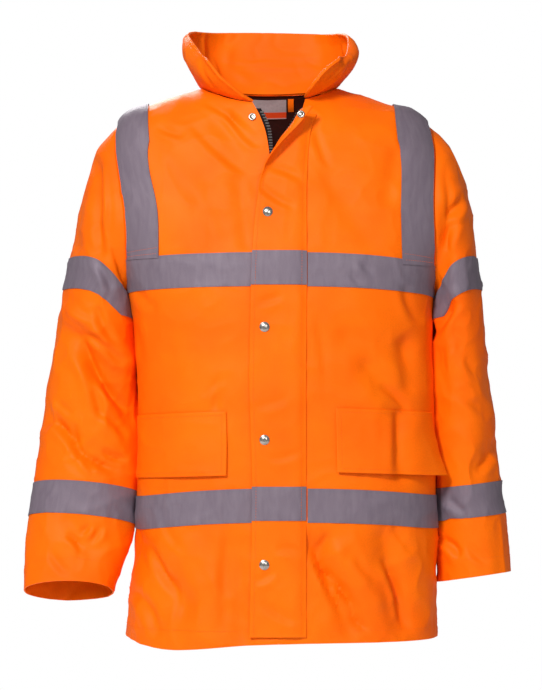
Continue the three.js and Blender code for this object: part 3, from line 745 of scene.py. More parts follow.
# %% The two fronts and the back
WALL = 2.0
SEAM = 0.3
SEAM_TURN = -0.0003  # below nothing: the panels overlap by a hair, and no light shows through
SEAM_ROLL = 1.3
ROLL_WIDTH = 2.4
NECK_ROLL = 0.8
FRONT_WIDTH, BACK_WIDTH = 330.0, 640.0
SIDES = (-1, "right"), (1, "left")
OPENING = table("z left right", [
    (-835, 15.2, 15.6),
    (-812, 15.3, 15.5),
    (-794, 10, 20),
    (-260, 9, 19),
    (-150, 5, 15),
    (-112, 2, 14.5),
    (-75, -4, 34),
    (-50, -13, 48),
    (-30, -24, 56),
])


def armhole_level(share):
    """The level along the armhole, from the armpit (0) to the shoulder (1), as round a circle."""
    return mix(ARMPIT, SHOULDER, (1 - np.cos(np.pi * share)) / 2)


def side_turn(side, facing, level):
    """The turn where a panel ends: the side seam, the armhole or the shoulder seam."""
    level = np.asarray(level, float)
    x = along(TORSO, "centre", level) + side * along(TORSO, "armhole", level)
    turn = front_turn_at(x, level) if facing < 0 else back_turn_at(x, level)
    turn = np.where(turn > 1, turn - 2, turn)
    return np.where((level <= ARMPIT) | (level >= SHOULDER), 0.5 * side, turn)


def front_edge_turn(side, level):
    z = along(TORSO, "front_z", level)
    return front_turn_at(along(OPENING, "left" if side < 0 else "right", z), level)


def panel_levels():
    return np.concatenate([
        mix(HEM, ARMPIT, steps(520.0, 4.2, fine_end=False))[:-1],
        armhole_level(np.linspace(0, 1, 66))[:-1],
        mix(SHOULDER, NECK, steps(130.0, 4.2, fine_start=False)),
    ])


def seam_roll(distance):
    """How far a sewn edge rolls in, at a distance from the seam in mm."""
    return SEAM_ROLL * np.exp(-((distance / ROLL_WIDTH) ** 2))


def body_panel(name, first, last, width, sewn_first, node):
    """A panel of the body between two edges, given as a turn for each level."""
    levels = panel_levels()
    shares = steps(width, 4.2)
    turn = mix(first(levels)[:, None], last(levels)[:, None], shares[None, :])
    level = np.broadcast_to(levels[:, None], turn.shape)
    flat = flat_map(torso(turn, level))
    across, down = flat[..., 0], flat[..., 1]
    roll = seam_roll(across[:, -1:] - across) + NECK_ROLL * seam_roll(down[-1:] - down)
    if sewn_first:
        roll = roll + seam_roll(across)
    outer = on_body(turn, level, -roll)
    inner = on_body(turn, level, -roll - WALL)
    piece = shell(name, outer, inner, [oxford, taffeta])
    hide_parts(node)
    return piece


for side, word in SIDES:
    body_panel(f"front_{word}_cloth", lambda level: front_edge_turn(side, level),
               lambda level: side_turn(side, -1, level) - side * SEAM_TURN, FRONT_WIDTH, False,
               f"front_{word}")
body_panel("back_cloth", lambda level: side_turn(1, 1, level) + SEAM_TURN,
           lambda level: side_turn(-1, 1, level) + 2 - SEAM_TURN, BACK_WIDTH, True, "back")

# %% [markdown]
# A sleeve starts on the armhole's own edge and runs to the cuff. Each line down its length is a smooth
# curve through nine rings, whose outer and inner sides are where they are seen from the front. It is
# kept just clear of the body. The elbow's folds are the deepest of the jacket, because a stiff sleeve
# buckles there when the arm hangs bent.

# %% The sleeves' rings
SLEEVE_COLUMNS = "place outer_x outer_z inner_x inner_z y depth pitch"
RIGHT_SLEEVE = table(SLEEVE_COLUMNS, [
    (0.08, -262, -98, -216, -320, 2, 80, 0),
    (0.18, -281, -160, -209, -330, 6, 82, 0),
    (0.3, -298, -245, -204, -350, 14, 82, 2),
    (0.42, -316, -330, -201, -392, 20, 78, 4),
    (0.54, -330, -412, -198, -450, 22, 73, 6),
    (0.66, -346, -500, -195, -520, 18, 66, 10),
    (0.78, -358, -596, -200, -606, 6, 58, 14),
    (0.9, -367, -684, -211, -690, -12, 51, 19),
    (1, -371, -764, -238, -764, -32, 47, 24),
])
LEFT_SLEEVE = table(SLEEVE_COLUMNS, [
    (0.08, 277, -92, 250, -320, 2, 82, 0),
    (0.18, 301, -150, 247, -330, 7, 86, 0),
    (0.3, 317, -240, 242, -350, 16, 92, 0),
    (0.42, 327, -330, 241, -388, 22, 92, 0),
    (0.54, 334, -415, 242, -445, 26, 90, 1),
    (0.66, 344, -505, 243, -520, 26, 84, 2),
    (0.78, 354, -600, 248, -606, 22, 76, 3),
    (0.9, 363, -672, 255, -682, 16, 66, 4),
    (1, 369, -738, 260, -754, 6, 58, 5),
])
SLEEVE_LINES = 152
SLEEVE_LENGTH = 700.0
SLEEVE_CLEARANCE = 1.0
CLEARANCE_RUN = 45.0


def clear_of_body(point, clearance):
    """Points kept clear of the body, below the armpit."""
    levels = np.linspace(HEM, NECK, 2001)
    level = np.interp(point[..., 2], body("side_z", levels), levels)
    room = clearance * np.clip((TORSO["side_z"][ARMPIT] - point[..., 2]) / CLEARANCE_RUN, 0, 1)
    centre, half, square = (along(TORSO, name, level) for name in ("centre", "half", "square"))
    depth = np.where(point[..., 1] < 0, along(TORSO, "front", level), along(TORSO, "back", level))
    across = (point[..., 0] - centre) / (half + room)
    ahead = point[..., 1] / (depth + room)
    reach = np.abs(across) ** square + np.abs(ahead) ** square
    inside = (reach < 1) & (level < ARMPIT)
    grow = np.where(inside, np.maximum(reach, 1e-6) ** (-1 / square), 1.0)
    return np.stack([centre + (point[..., 0] - centre) * grow, point[..., 1] * grow, point[..., 2]], -1)


def make_sleeve(side, rings):
    """A sleeve's surface: its points for a grid of places from the armhole (0) to the cuff (1)."""
    index = np.arange(SLEEVE_LINES)
    half = SLEEVE_LINES // 2
    share = np.where(index <= half, index, SLEEVE_LINES - index) / half
    level = armhole_level(share)
    turn = np.where(index <= half, side_turn(side, -1, level), side_turn(side, 1, level))
    edge = on_body(turn, level, np.full(SLEEVE_LINES, -SEAM_ROLL))
    middle = np.where([True, False, False], edge, torso(0.5 * side, 4.0))
    start = edge + unit(middle - edge) * SEAM * 1.5
    angle = 2 * np.pi * index / SLEEVE_LINES
    pitch = np.radians(rings["pitch"])[:, None]
    middle_x = (rings["outer_x"] + rings["inner_x"])[:, None] / 2
    middle_z = (rings["outer_z"] + rings["inner_z"])[:, None] / 2
    ahead = rings["depth"][:, None] * np.sin(angle)
    ring_points = np.stack([
        middle_x - (rings["outer_x"][:, None] - middle_x) * np.cos(angle),
        rings["y"][:, None] - ahead * np.cos(pitch),
        middle_z - (rings["outer_z"][:, None] - middle_z) * np.cos(angle) + ahead * np.sin(pitch),
    ], axis=-1)
    places = np.concatenate([[0], rings["place"]])
    points = np.concatenate([start[None], ring_points])
    middle_ys = np.concatenate([[0], rings["y"]])

    def smooth(place):
        point = np.stack([curve(places, points[..., axis], place) for axis in range(3)], axis=-1)
        return clear_of_body(point, SLEEVE_CLEARANCE * np.clip(place * 12, 0, 1))

    def surface(place, out):
        point = smooth(place)
        at = np.clip(place, 0.012, 0.988)
        near = smooth(at)
        around = np.roll(near, -1, axis=1) - np.roll(near, 1, axis=1)
        down = smooth(at + 0.012) - smooth(at - 0.012)
        normal = unit(np.cross(around, down)) * -side
        raised = relief(point, SLEEVE_FOLDS, SLEEVE_CREASES, curve(places, middle_ys, place), 1.0)
        return point + normal * (out + raised * np.clip(place * 10, 0, 1))[..., None]

    return surface


sleeve_surface = {"right": make_sleeve(-1, RIGHT_SLEEVE), "left": make_sleeve(1, LEFT_SLEEVE)}
SLEEVE_PLACES = np.unique(np.concatenate([
    np.linspace(0, 1, 206) ** 1.1, [0.001, 0.0025, 0.0045, 0.997, 0.999]]))
for word, surface in sleeve_surface.items():
    place = np.broadcast_to(SLEEVE_PLACES[:, None], (len(SLEEVE_PLACES), SLEEVE_LINES))
    rolled = SEAM_ROLL * (1 - np.exp(-((place * SLEEVE_LENGTH / ROLL_WIDTH) ** 2)))
    piece = shell(f"sleeve_{word}_cloth", surface(place, rolled), surface(place, rolled - WALL),
                  [oxford, oxford], closed=True)
    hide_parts(f"sleeve_{word}_front", f"sleeve_{word}_back")
print("sleeve grid:", len(SLEEVE_PLACES), "by", SLEEVE_LINES)

# %% [markdown]
# The stand collar is two layers of the same cloth with a thick interlining, so it stands by itself and
# swells between the neck seam and its rim. Its two front ends turn outward. Its section is a curve
# through three lines, seam, belly and rim, and its free edges are rounded like a turned and pressed
# edge.

# %% The collar
COLLAR_WALL = 5.0
BELLY = 0.55
TUCK = 0.7
COLLAR_GAIN = 1.9
COLLAR_LENGTH, COLLAR_HEIGHT = 690.0, 108.0
COLLAR = table("turn belly_x belly_y belly_z rim_x rim_y rim_z", [
    (0.17, 74, -116, 2, 107, -106, 33),
    (0.3, 121, -80, 27, 117, -62, 48),
    (0.5, 134, -8, 54, 118, 5, 84),
    (0.8, 88, 78, 52, 82, 84, 94),
    (1, 0, 90, 52, 0, 97, 97),
    (1.2, -84, 78, 52, -80, 84, 96),
    (1.5, -130, -8, 56, -121, 0, 86),
    (1.75, -108, -86, 20, -104, -78, 50),
    (1.93, -62, -112, -3, -93, -114, 27),
])
COLLAR_CREASES = table("turn height across tall depth lean", [
    (1.3, 0.55, 0.022, 0.34, 3.2, 0.02),
    (1.22, 0.3, 0.016, 0.2, 1.8, -0.02),
    (0.98, 0.42, 0.1, 0.03, 1.1, 0),
    (1.04, 0.5, 0.08, 0.035, 1.2, 0),
    (0.9, 0.6, 0.05, 0.04, 0.9, 0.2),
    (1.1, 0.28, 0.03, 0.1, 1.3, 0.15),
    (1.14, 0.6, 0.02, 0.2, 1.4, -0.05),
    (0.8, 0.35, 0.04, 0.08, 1.0, 0.2),
    (0.62, 0.62, 0.02, 0.14, 2.4, 0.05),
    (0.52, 0.75, 0.012, 0.1, 2.2, 0),
    (1.5, 0.3, 0.03, 0.12, 1.6, 0.04),
    (1.62, 0.35, 0.02, 0.2, 1.8, -0.05),
    (1.8, 0.4, 0.018, 0.3, 1.6, 0.05),
    (0.32, 0.4, 0.02, 0.25, 1.8, -0.05),
    (0.24, 0.5, 0.012, 0.2, 1.4, 0.03),
])


def collar_smooth(turn, height):
    """The collar's smooth outer side: a curve through the neck seam, its belly and its rim."""
    base = torso(turn, float(NECK)) + (0, 0, 2 * SEAM)
    belly, rim = (np.stack([along(COLLAR, f"{line}_{axis}", turn) for axis in "xyz"], axis=-1)
                  for line in ("belly", "rim"))
    height = np.asarray(height)[..., None]
    return (base * (height - BELLY) * (height - 1) / BELLY
            + belly * height * (height - 1) / (BELLY * (BELLY - 1))
            + rim * height * (height - BELLY) / (1 - BELLY))


def on_collar(turn, height, out):
    """A point on the collar's cloth, moved out by a distance."""
    point = collar_smooth(turn, height)
    ends = COLLAR["turn"][0] + 0.01, COLLAR["turn"][-1] - 0.01
    normal = outward(collar_smooth, np.clip(turn, *ends), np.clip(height, 0.03, 0.97), 0.01, 0.03)
    push = soft_noise(point, 40, 41) * 1.3 + crackle(point, 30, 42) * 1.7
    for at, high, across, tall, depth, lean in zip(*COLLAR_CREASES.values()):
        off = (turn - at - lean * (height - high)) / across
        push = push - COLLAR_GAIN * depth * np.exp(-(off**2) - ((height - high) / tall) ** 2)
    return point + normal * (out + push * np.clip(height * 6, 0, 1))[..., None]


def build_collar():
    shares = steps(COLLAR_LENGTH, 3.6)
    heights = np.concatenate([[-0.02], steps(COLLAR_HEIGHT, 3.6)])
    turn, height = np.meshgrid(mix(COLLAR["turn"][0], COLLAR["turn"][-1], shares), heights)
    flat = flat_map(collar_smooth(turn, height))
    across, down = flat[..., 0], flat[..., 1] - flat[1:2, :, 1]
    edge = np.minimum(np.minimum(across, across[:, -1:] - across), down[-1:] - down)
    half = COLLAR_WALL / 2
    full = edge_round(edge, half)
    groove = TUCK * np.exp(-((np.maximum(down, 0) / ROLL_WIDTH) ** 2))
    piece = shell("collar_cloth", on_collar(turn, height, -half + half * full - groove),
                  on_collar(turn, height, -half - half * full), [oxford, oxford])
    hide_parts("collar")


build_collar()

# %% [markdown]
# The storm flap covers the zip. It is sewn down one side and pressed flat, and where the neck is open
# it rolls over itself. It is a strip whose width unrolls round a circle: straight first, then round
# the fold, as far as the table's curl says. Near its seam it dips to the panel that it is sewn to.

# %% The storm flap
FLAP_WALL = 2.4
FLAP_LIFT = 6.0
FLAP_WIDTH, FLAP_LENGTH = 84.0, 774.0
FLAP = table("z seam fold radius curl", [
    (-822, 56, -28, 10, 0),
    (-600, 56, -24, 10, 0),
    (-443, 56, -28, 10, 0),
    (-281, 57, -25, 10, 0),
    (-211, 57, -21, 10, 5),
    (-161, 57, -14, 10, 25),
    (-136, 58, -8, 10, 65),
    (-114, 59, 5, 10, 120),
    (-92, 61, 18, 10, 165),
    (-70, 64, 33, 10, 190),
    (-48, 72, 46, 11, 200),
])
STUDS = [(-1.0, -195.5), (-5.7, -365.0), (-5.7, -531.0), (-6.0, -715.0)]
FLAP_CREASES = table(CREASE_COLUMNS, [
    (-20, -150, 40, -190, 6, 1.6, 4, -1),
    (0, -130, 52, -150, 7, 1.6, -4, -1),
    (-18, -330, 20, -318, 6, 0.9, 2, -1),
    (-22, -740, 10, -722, 6, 1.2, 3, -1),
    (10, -690, 50, -700, 7, 1.0, -3, -1),
    (-10, -770, 48, -800, 7, 1.2, 4, -1),
    (-20, -480, 30, -470, 7, 0.8, 3, -1),
    (0, -560, 50, -548, 6, 0.8, 2, -1),
])


def on_flap(u, z, out):
    """A point of the storm flap: u runs from its seam to its free edge."""
    u, z, out = np.broadcast_arrays(np.asarray(u, float), z, out)
    seam, fold, radius, curl = (along(FLAP, name, z) for name in ("seam", "fold", "radius", "curl"))
    curl = np.radians(np.maximum(curl, 0))
    arc_x = fold + radius * np.sin(np.minimum(curl, np.pi / 2))
    straight = np.maximum(seam - arc_x, 0)
    way = u * (straight + radius * curl)
    angle = np.maximum(way - straight, 0) / radius
    x = arc_x + straight - np.minimum(way, straight) - radius * np.sin(angle)
    rise = radius * (1 - np.cos(angle))
    turn, level = front_place(x, z)
    normal = torso_normal(turn, level)
    side = unit(np.array([1.0, 0, 0]) - normal * normal[..., :1])
    base = torso(turn, level)
    lift = FLAP_LIFT - 3.9 * np.exp(-((way / 9) ** 2))
    pulled = sum(1.1 * np.exp(-(((x - stud_x) / 9) ** 2) - ((z - stud_z) / 9) ** 2)
                 for stud_x, stud_z in STUDS)
    push = dents(base, 0.6) * 0.7 - crease_depth(FLAP_CREASES, base) - pulled
    away = out + push * np.clip(way / 8, 0, 1)
    point = base + normal * (lift + rise + away * np.cos(angle))[..., None]
    return point + side * (away * np.sin(angle))[..., None]


def build_storm_flap():
    shares = steps(88.0, 3.4)
    heights = mix(FLAP["z"][0], FLAP["z"][-1], steps(FLAP_LENGTH, 3.8))
    u, z = np.meshgrid(shares, heights)
    flat = flat_map(on_flap(u, z, 0.0))
    across, down = flat[..., 0], flat[..., 1]
    edge = np.minimum(np.minimum(across, across[:, -1:] - across), np.minimum(down, down[-1:] - down))
    half = FLAP_WALL / 2
    full = edge_round(edge, half)
    piece = shell("storm_flap_cloth", on_flap(u, z, -half + half * full),
                  on_flap(u, z, -half - half * full), [oxford, oxford])
    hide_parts("storm_flap")


build_storm_flap()

# %% [markdown]
# A pocket flap is two layers of cloth, sewn along its top edge and hanging free below it. It follows
# the front and stands off more and more towards its lower edge, and most at its outer corner.

# %% The pocket flaps
POCKET_WIDTH, POCKET_HEIGHT, POCKET_LIFT, POCKET_WALL = 178.0, 95.0, 1.2, 1.6
POCKET_FLAPS = {
    "right": {"side": -1, "inner_x": -62.0, "top_z": -489.0, "slope": 9.0, "kick": -4.0},
    "left": {"side": 1, "inner_x": 99.0, "top_z": -484.0, "slope": 9.0, "kick": 16.0},
}


def pocket_surface(side, inner_x, top_z, slope, kick):
    """The surface of a pocket flap, from its inner end (u 0) and its top edge (v 0)."""
    start, level = (float(value) for value in front_place(np.array(inner_x), np.array(top_z)))
    turns = start + side * np.linspace(0, 0.49 - abs(start), 200)
    length = np.concatenate([[0], np.linalg.norm(np.diff(torso(turns, level), axis=0), axis=1).cumsum()])
    end = np.interp(POCKET_WIDTH, length, turns)

    def surface(u, v, out):
        turn = mix(start, end, u)
        place = level_at(turn, top_z - slope * u - POCKET_HEIGHT * v)
        sag = 1.4 * np.sin(np.pi * u * 2.2) * v**2
        stand = POCKET_LIFT + 4 * v + kick * u**2 * v**2 + sag
        return on_body(turn, place, stand + out)

    return surface


pocket = {}
for word, sizes in POCKET_FLAPS.items():
    pocket[word] = pocket_surface(**sizes)
    u, v = np.meshgrid(steps(POCKET_WIDTH, 4.0), steps(POCKET_HEIGHT, 4.0))
    edge = np.minimum(np.minimum(u, 1 - u) * POCKET_WIDTH, np.minimum(v, 1 - v) * POCKET_HEIGHT)
    half = POCKET_WALL / 2
    full = edge_round(edge, half * 1.5)
    piece = shell(f"pocket_flap_{word}_cloth", pocket[word](u, v, half + half * full),
                  pocket[word](u, v, half - half * full), [oxford, oxford])
    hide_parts(f"pocket_flap_{word}")
print("pocket flaps:", list(pocket))

# %% [markdown]
# The reflective tape is 50 mm wide and sewn flat on the cloth, so it takes every fold of what it lies
# on. Each length is a narrow grid on the same surface as the cloth below, moved out by its own
# thickness. Cutting it from the cloth as a change of colour would be simpler, but a real tape has an
# edge that catches the light.

# %% Tapes round the body
TAPE_WIDTH, TAPE_WALL = 50.0, 0.7
TAPE_LIFT = 0.7
TAPE_END = 0.006
UNDER_FLAP, FLAP_SEAM = -4.0, 57.7
FLAP_TAPE_TOPS = {"chest": -253.0, "waist": -600.0}
STITCH_INSETS = 2.2, TAPE_WIDTH - 2.2
tape_edges = []


def stitch_line(surface, a, b, out):
    """A line for stitches on a surface, and the same line moved out by 1 mm."""
    return surface(a, b, out), surface(a, b, out + 1)


def tape_shell(name, at, lift=TAPE_LIFT, closed=False):
    """A length of tape; at gives its points when it is moved out by a distance."""
    piece = shell(name, at(lift + TAPE_WALL), at(lift), [tape_finish], closed)
    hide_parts(name.replace("_film", ""))


def body_tape(name, top_z, sags, first, last, length):
    """A tape between two edges of a panel, given as turns by height; sags are its drop at each side."""
    u, v = np.meshgrid(steps(length, 4.0, False, False), steps(TAPE_WIDTH, 4.2, False, False))
    guess = mix(first(np.full(u.shape, top_z)), last(np.full(u.shape, top_z)), u)
    sag = np.where(np.sin(guess * np.pi) < 0, *sags)
    z = top_z - sag * np.sin(guess * np.pi) ** 2 - TAPE_WIDTH * v
    turn = mix(first(z), last(z), u)
    level = level_at(turn, z)
    tape_shell(name, lambda out: on_body(turn, level, out))
    for inset in STITCH_INSETS:
        line_z = top_z - sag[0] * np.sin(guess[0] * np.pi) ** 2 - inset
        line_turn = mix(first(line_z), last(line_z), u[0])
        tape_edges.append(stitch_line(
            on_body, line_turn, level_at(line_turn, line_z), TAPE_LIFT + TAPE_WALL))


def side_at(side, facing):
    def turn(z):
        found = side_turn(side, facing, level_at(0.5, z)) + side * facing * TAPE_END
        return found + 2 if side < 0 and facing > 0 else found
    return turn


def front_at(x):
    return lambda z: front_turn_at(x + 0 * z, level_at(0.0, z))


for word, top_z, sags in (("chest", -255.0, (10.0, 21.0)), ("waist", -603.0, (18.0, 16.0))):
    body_tape(f"{word}_tape_front_right_film", top_z, sags, front_at(UNDER_FLAP), side_at(-1, -1), 290.0)
    body_tape(f"{word}_tape_front_left_film", top_z, sags, front_at(FLAP_SEAM), side_at(1, -1), 230.0)
    body_tape(f"{word}_tape_back_film", top_z, sags, side_at(1, 1), side_at(-1, 1), 590.0)
    across, down = np.meshgrid(steps(FLAP_WIDTH, 4.0, False, False), steps(TAPE_WIDTH, 4.2, False, False))
    u, z = mix(0.005, 0.998, across), FLAP_TAPE_TOPS[word] - TAPE_WIDTH * down
    tape_shell(f"{word}_tape_flap_film", lambda out: on_flap(u, z, out))

# %% [markdown]
# Two more tapes run up from the chest tape and over the shoulders, like braces. On the real jacket
# each is one length over the shoulder seam. Here it is made in two, one on each panel, so that both
# follow their own cloth. Two rows of stitches across the lower end hold the front ones down.

# %% Tapes over the shoulders
BRACE_STEP, BRACE_INSET, BRACE_LIFT = 24.0, 4.0, 2.0
BRACE_BOTTOM = {-1: -264.0, 1: -273.0}
brace_ends = []


def brace_tape(name, side, facing):
    """A tape over the shoulder, from the chest tape's top edge to the shoulder seam."""
    turn_at = front_turn_at if facing < 0 else back_turn_at

    def away(u, level):
        return along(TORSO, "armhole", np.minimum(level, SHOULDER)) - BRACE_INSET - BRACE_STEP * 2 * u

    def place(u, v):
        seam = solve(lambda l: -along(TORSO, "half", l), -away(u, float(SHOULDER) + 0 * u), SHOULDER, NECK)
        bottom = level_at(0.4, np.full(u.shape, BRACE_BOTTOM[side]))
        level = mix(bottom, seam - 0.00002, 1 - (1 - v) ** 2)
        return turn_at(along(TORSO, "centre", level) + side * away(u, level), level), level

    u, v = np.meshgrid(steps(2 * BRACE_STEP, 4.2, False, False), steps(340.0, 4.0, False, False))
    turn, level = place(u, v)
    tape_shell(name, lambda out: on_body(turn, level, out), BRACE_LIFT)
    line, end, out = np.linspace(0, 1, 120), np.linspace(0.02, 0.98, 40), BRACE_LIFT + TAPE_WALL
    for inset in (0.045, 0.955):
        tape_edges.append(stitch_line(on_body, *place(0 * line + inset, line), out))
    for up in (0.012, 0.028) if facing < 0 else ():
        brace_ends.append(stitch_line(on_body, *place(end, 0 * end + up), out))


for side, word in SIDES:
    brace_tape(f"brace_tape_front_{word}_film", side, -1)
    brace_tape(f"brace_tape_back_{word}_film", side, 1)

# %% [markdown]
# A sleeve's tape is a closed band. Its top edge is a line round the sleeve, and its width is measured
# down from there along the cloth itself, over every fold. A straight slice through the sleeve would
# be easier, but the tape would come out narrow wherever the cloth leans.

# %% Tapes round the sleeves
SLEEVE_TAPES = [
    ("upper", "right", 0.322, 0.16),
    ("lower", "right", 0.791, 0.797),
    ("upper", "left", 0.327, 0.163),
    ("lower", "left", 0.78, 0.79),
]


def sleeve_band(surface, outer_top, inner_top, distances):
    """Places on a sleeve at given distances in mm below a line round it."""
    angle = 2 * np.pi * np.arange(SLEEVE_LINES) / SLEEVE_LINES
    top = mix(inner_top, outer_top, (1 - np.cos(angle)) / 2)
    march = np.minimum(top + np.linspace(0, 0.16, 60)[:, None], 0.995)
    run = np.linalg.norm(np.diff(surface(march, 0.0), axis=0), axis=2).cumsum(axis=0)
    run = np.concatenate([np.zeros((1, SLEEVE_LINES)), run])
    return np.stack([np.interp(distances, run[:, i], march[:, i]) for i in range(SLEEVE_LINES)], axis=1)


def stitch_ring(surface, place, out):
    """A line for stitches all round a sleeve, and the same line moved out by 1 mm."""
    rings = (surface(place[None], out + more)[0] for more in (0, 1))
    return [np.append(ring, ring[:1], axis=0) for ring in rings]


for part, word, outer_top, inner_top in SLEEVE_TAPES:
    surface = sleeve_surface[word]
    lift = SEAM_ROLL + TAPE_LIFT
    place = sleeve_band(surface, outer_top, inner_top, np.linspace(0, TAPE_WIDTH, 13))
    tape_shell(f"sleeve_tape_{part}_{word}_film", lambda out: surface(place, out), lift, closed=True)
    for line in sleeve_band(surface, outer_top, inner_top, STITCH_INSETS):
        tape_edges.append(stitch_ring(surface, line, lift + TAPE_WALL))

# %% [markdown]
# The zip is a chunky one with moulded teeth on a woven tape. Its two halves show only in the open
# neck, but they run all the way down behind the flap. The teeth are many and alike, so a loop lays
# one small block after another along the tape's edge and joins them in one mesh.

# %% The zip
ZIP_FROM, ZIP_TO = -793.0, -38.0
TOOTH_PITCH, TOOTH_LONG, TOOTH_WIDE, TOOTH_THICK = 4.2, 6.0, 2.6, 2.6


def zip_surface(side):
    """The tape of one half of the zip, along the front's edge; u 1 is the edge with the teeth."""
    def surface(u, v, out):
        z = mix(ZIP_FROM, ZIP_TO, v)
        showing = 4.4 + 3.5 * np.clip((z + 100) / 30, 0, 1)
        edge = along(OPENING, "left" if side < 0 else "right", z)
        turn, level = front_place(edge + side * mix(12, -showing, u), z)
        return on_body(turn, level, out - WALL - 3)
    return surface


def blocks(name, centres, ways, sizes, finish):
    """Many small blocks, each with its own three directions, joined in one mesh."""
    signs = np.array([(x, y, z) for x in (-1, 1) for y in (-1, 1) for z in (-1, 1)]) / 2
    corners = [centres + sum(ways[axis] * sizes[axis] * sign[axis] for axis in range(3)) for sign in signs]
    mesh = many(name, np.stack(corners, axis=1), [
        (0, 1, 3, 2), (4, 6, 7, 5), (0, 4, 5, 1), (2, 3, 7, 6), (0, 2, 6, 4), (1, 5, 7, 3)])
    piece = new_object(name, mesh, [finish])
    bevel = piece.modifiers.new("worn corners", "BEVEL")
    bevel.width, bevel.segments = 0.35 * MM, 1
    return piece


for side, word in SIDES:
    surface = zip_surface(side)
    u, v = np.meshgrid(np.linspace(0, 1, 6), np.linspace(0, 1, 200))
    piece = shell(f"zip_{word}_tape", surface(u, v, 1.2), surface(u, v, 0.0), [zip_tape])
    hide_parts(f"zip_{word}")
    count = int((ZIP_TO - ZIP_FROM - 6) / TOOTH_PITCH)
    v = (np.arange(count) + (0.5 if side < 0 else 0.0)) / count * 0.99 + 0.005
    centres = surface(np.full(count, 0.93), v, 1.0)
    outer_way = unit(surface(np.full(count, 0.93), v, 2.0) - centres)
    reach_way = unit(surface(np.full(count, 1.0), v, 1.0) - surface(np.full(count, 0.8), v, 1.0))
    blocks(f"zip_{word}_teeth", centres, [reach_way, np.cross(outer_way, reach_way), outer_way],
           (TOOTH_LONG, TOOTH_WIDE, TOOTH_THICK), teeth_acetal)
print("teeth on each side:", count)

# %% [markdown]
# The press studs are turned from brass strip and plated. A cap is a low dome with a rolled rim, and
# the parts beside the open neck are rings with a socket in the middle. Each is a profile spun round
# its axis with enough steps to look round in close-up.

# %% Press studs and ring snaps
CAP_PROFILE = [(0, 0.2), (7.1, 0.2), (7.5, 0.5), (7.5, 1.1), (7.1, 1.5), (6.7, 1.55), (6.2, 1.9),
               (5.2, 2.5), (3.8, 3.0), (2.0, 3.35), (0, 3.45)]
RING_PROFILE = [(0, 0.1), (5.6, 0.1), (5.8, 0.4), (5.8, 1.2), (5.4, 1.9), (4.6, 2.3), (3.8, 2.2),
                (3.1, 1.7), (2.6, 1.0), (1.6, 0.7), (0, 0.7)]
SPIN_STEPS = 48


def spun(name, centre, axis, profile, node):
    """A piece of plated metal: a profile of radius and height spun round an axis."""
    turn = np.linspace(0, 2 * np.pi, SPIN_STEPS, endpoint=False)
    up = Vector(axis).normalized()
    frame_of = np.array(up.to_track_quat("Z", "Y").to_matrix())
    rows = np.array([(r, h) for r, h in profile if r > 0])
    points = np.stack([
        rows[:, :1] * np.cos(turn), rows[:, :1] * np.sin(turn), np.repeat(rows[:, 1:], SPIN_STEPS, 1)], -1)
    points = points.reshape(-1, 3)
    points = np.concatenate([points, [(0, 0, profile[0][1]), (0, 0, profile[-1][1])]])
    low, high = len(points) - 2, len(points) - 1
    top = (len(rows) - 1) * SPIN_STEPS
    faces = []
    for k in range(SPIN_STEPS):
        m = (k + 1) % SPIN_STEPS
        for start in range(0, top, SPIN_STEPS):
            faces.append((start + k, start + m, start + SPIN_STEPS + m, start + SPIN_STEPS + k))
        faces.append((low, m, k))
        faces.append((high, top + k, top + m))
    mesh = mesh_of(name, points @ frame_of.T + centre, faces)
    mesh.shade_smooth()
    mesh.set_sharp_from_angle(angle=math.radians(60))
    piece = new_object(name, mesh, [nickel])
    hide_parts(node)


def flap_share_at(x, z):
    return solve(lambda u: -on_flap(u, z, 0.0)[..., 0], np.array(-x), 0.0, 1.0)


for number, (x, z) in enumerate(STUDS, 1):
    u = flap_share_at(x, z)
    base, above = on_flap(u, z, 0.1), on_flap(u, z, 1.1)
    spun(f"press_stud_cap_{number}", base, above - base, CAP_PROFILE, f"stud_cap_{number}")
turn, level = front_place(np.array(-24.0), np.array(-52.0))
base = on_body(turn, level, np.array(0.2))
away = torso_normal(turn, level)
spun("ring_snap_right_metal", base, away, RING_PROFILE, "ring_snap_right")
base, above = on_flap(0.86, -58.0, -FLAP_WALL - 0.2), on_flap(0.86, -58.0, -FLAP_WALL - 1.2)
spun("ring_snap_left_metal", base, above - base, RING_PROFILE, "ring_snap_left")

# %% [markdown]
# Through the open neck the dark lining of the yoke shows, with a blank woven label and the loop that
# the jacket hangs by. The label has no words: only a pale field, a fine border and a coloured lower
# band.

# %% Lining, label and loop
LINING_IN = 4.0
LABEL = {"left": -26.0, "right": 28.0, "bottom": -36.0, "top": -8.0}
LABEL_BAND, LABEL_BORDER = 11.0, 1.6


def woven_label(name):
    """Damask label ribbon: a pale silver field over an orange-red band, with a fine pale border."""
    material, shader = new_material(name, Metallic=0.0, Roughness=0.45, Sheen_Weight=0.1)
    place = flat_place(material)
    up = add(material, "ShaderNodeSeparateXYZ", {"Vector": place}).outputs["Y"]
    mottle = noise(material, place, 300.0)
    colour = two_shades(material, mottle, linear("#b9a3a3"), linear("#9c8585"))
    for height, hex_colour in ((LABEL_BAND, "#e2410a"), (LABEL_BORDER, "#c9938c")):
        below = math_node(material, "LESS_THAN", up, height * MM)
        colour = two_shades(material, below, colour, linear(hex_colour))
    connect(material, colour, shader, "Base Color")
    raise_surface(material, shader, threads(material, place, 0.7), 0.4, 0.1)
    return material


def inside_back(x, z, out):
    """A point on the inside of the back's yoke, seen at x and z."""
    level = solve(lambda l: torso(1.0, l)[..., 2], z, SHOULDER, NECK)
    return on_body(back_turn_at(x, level), level, out)


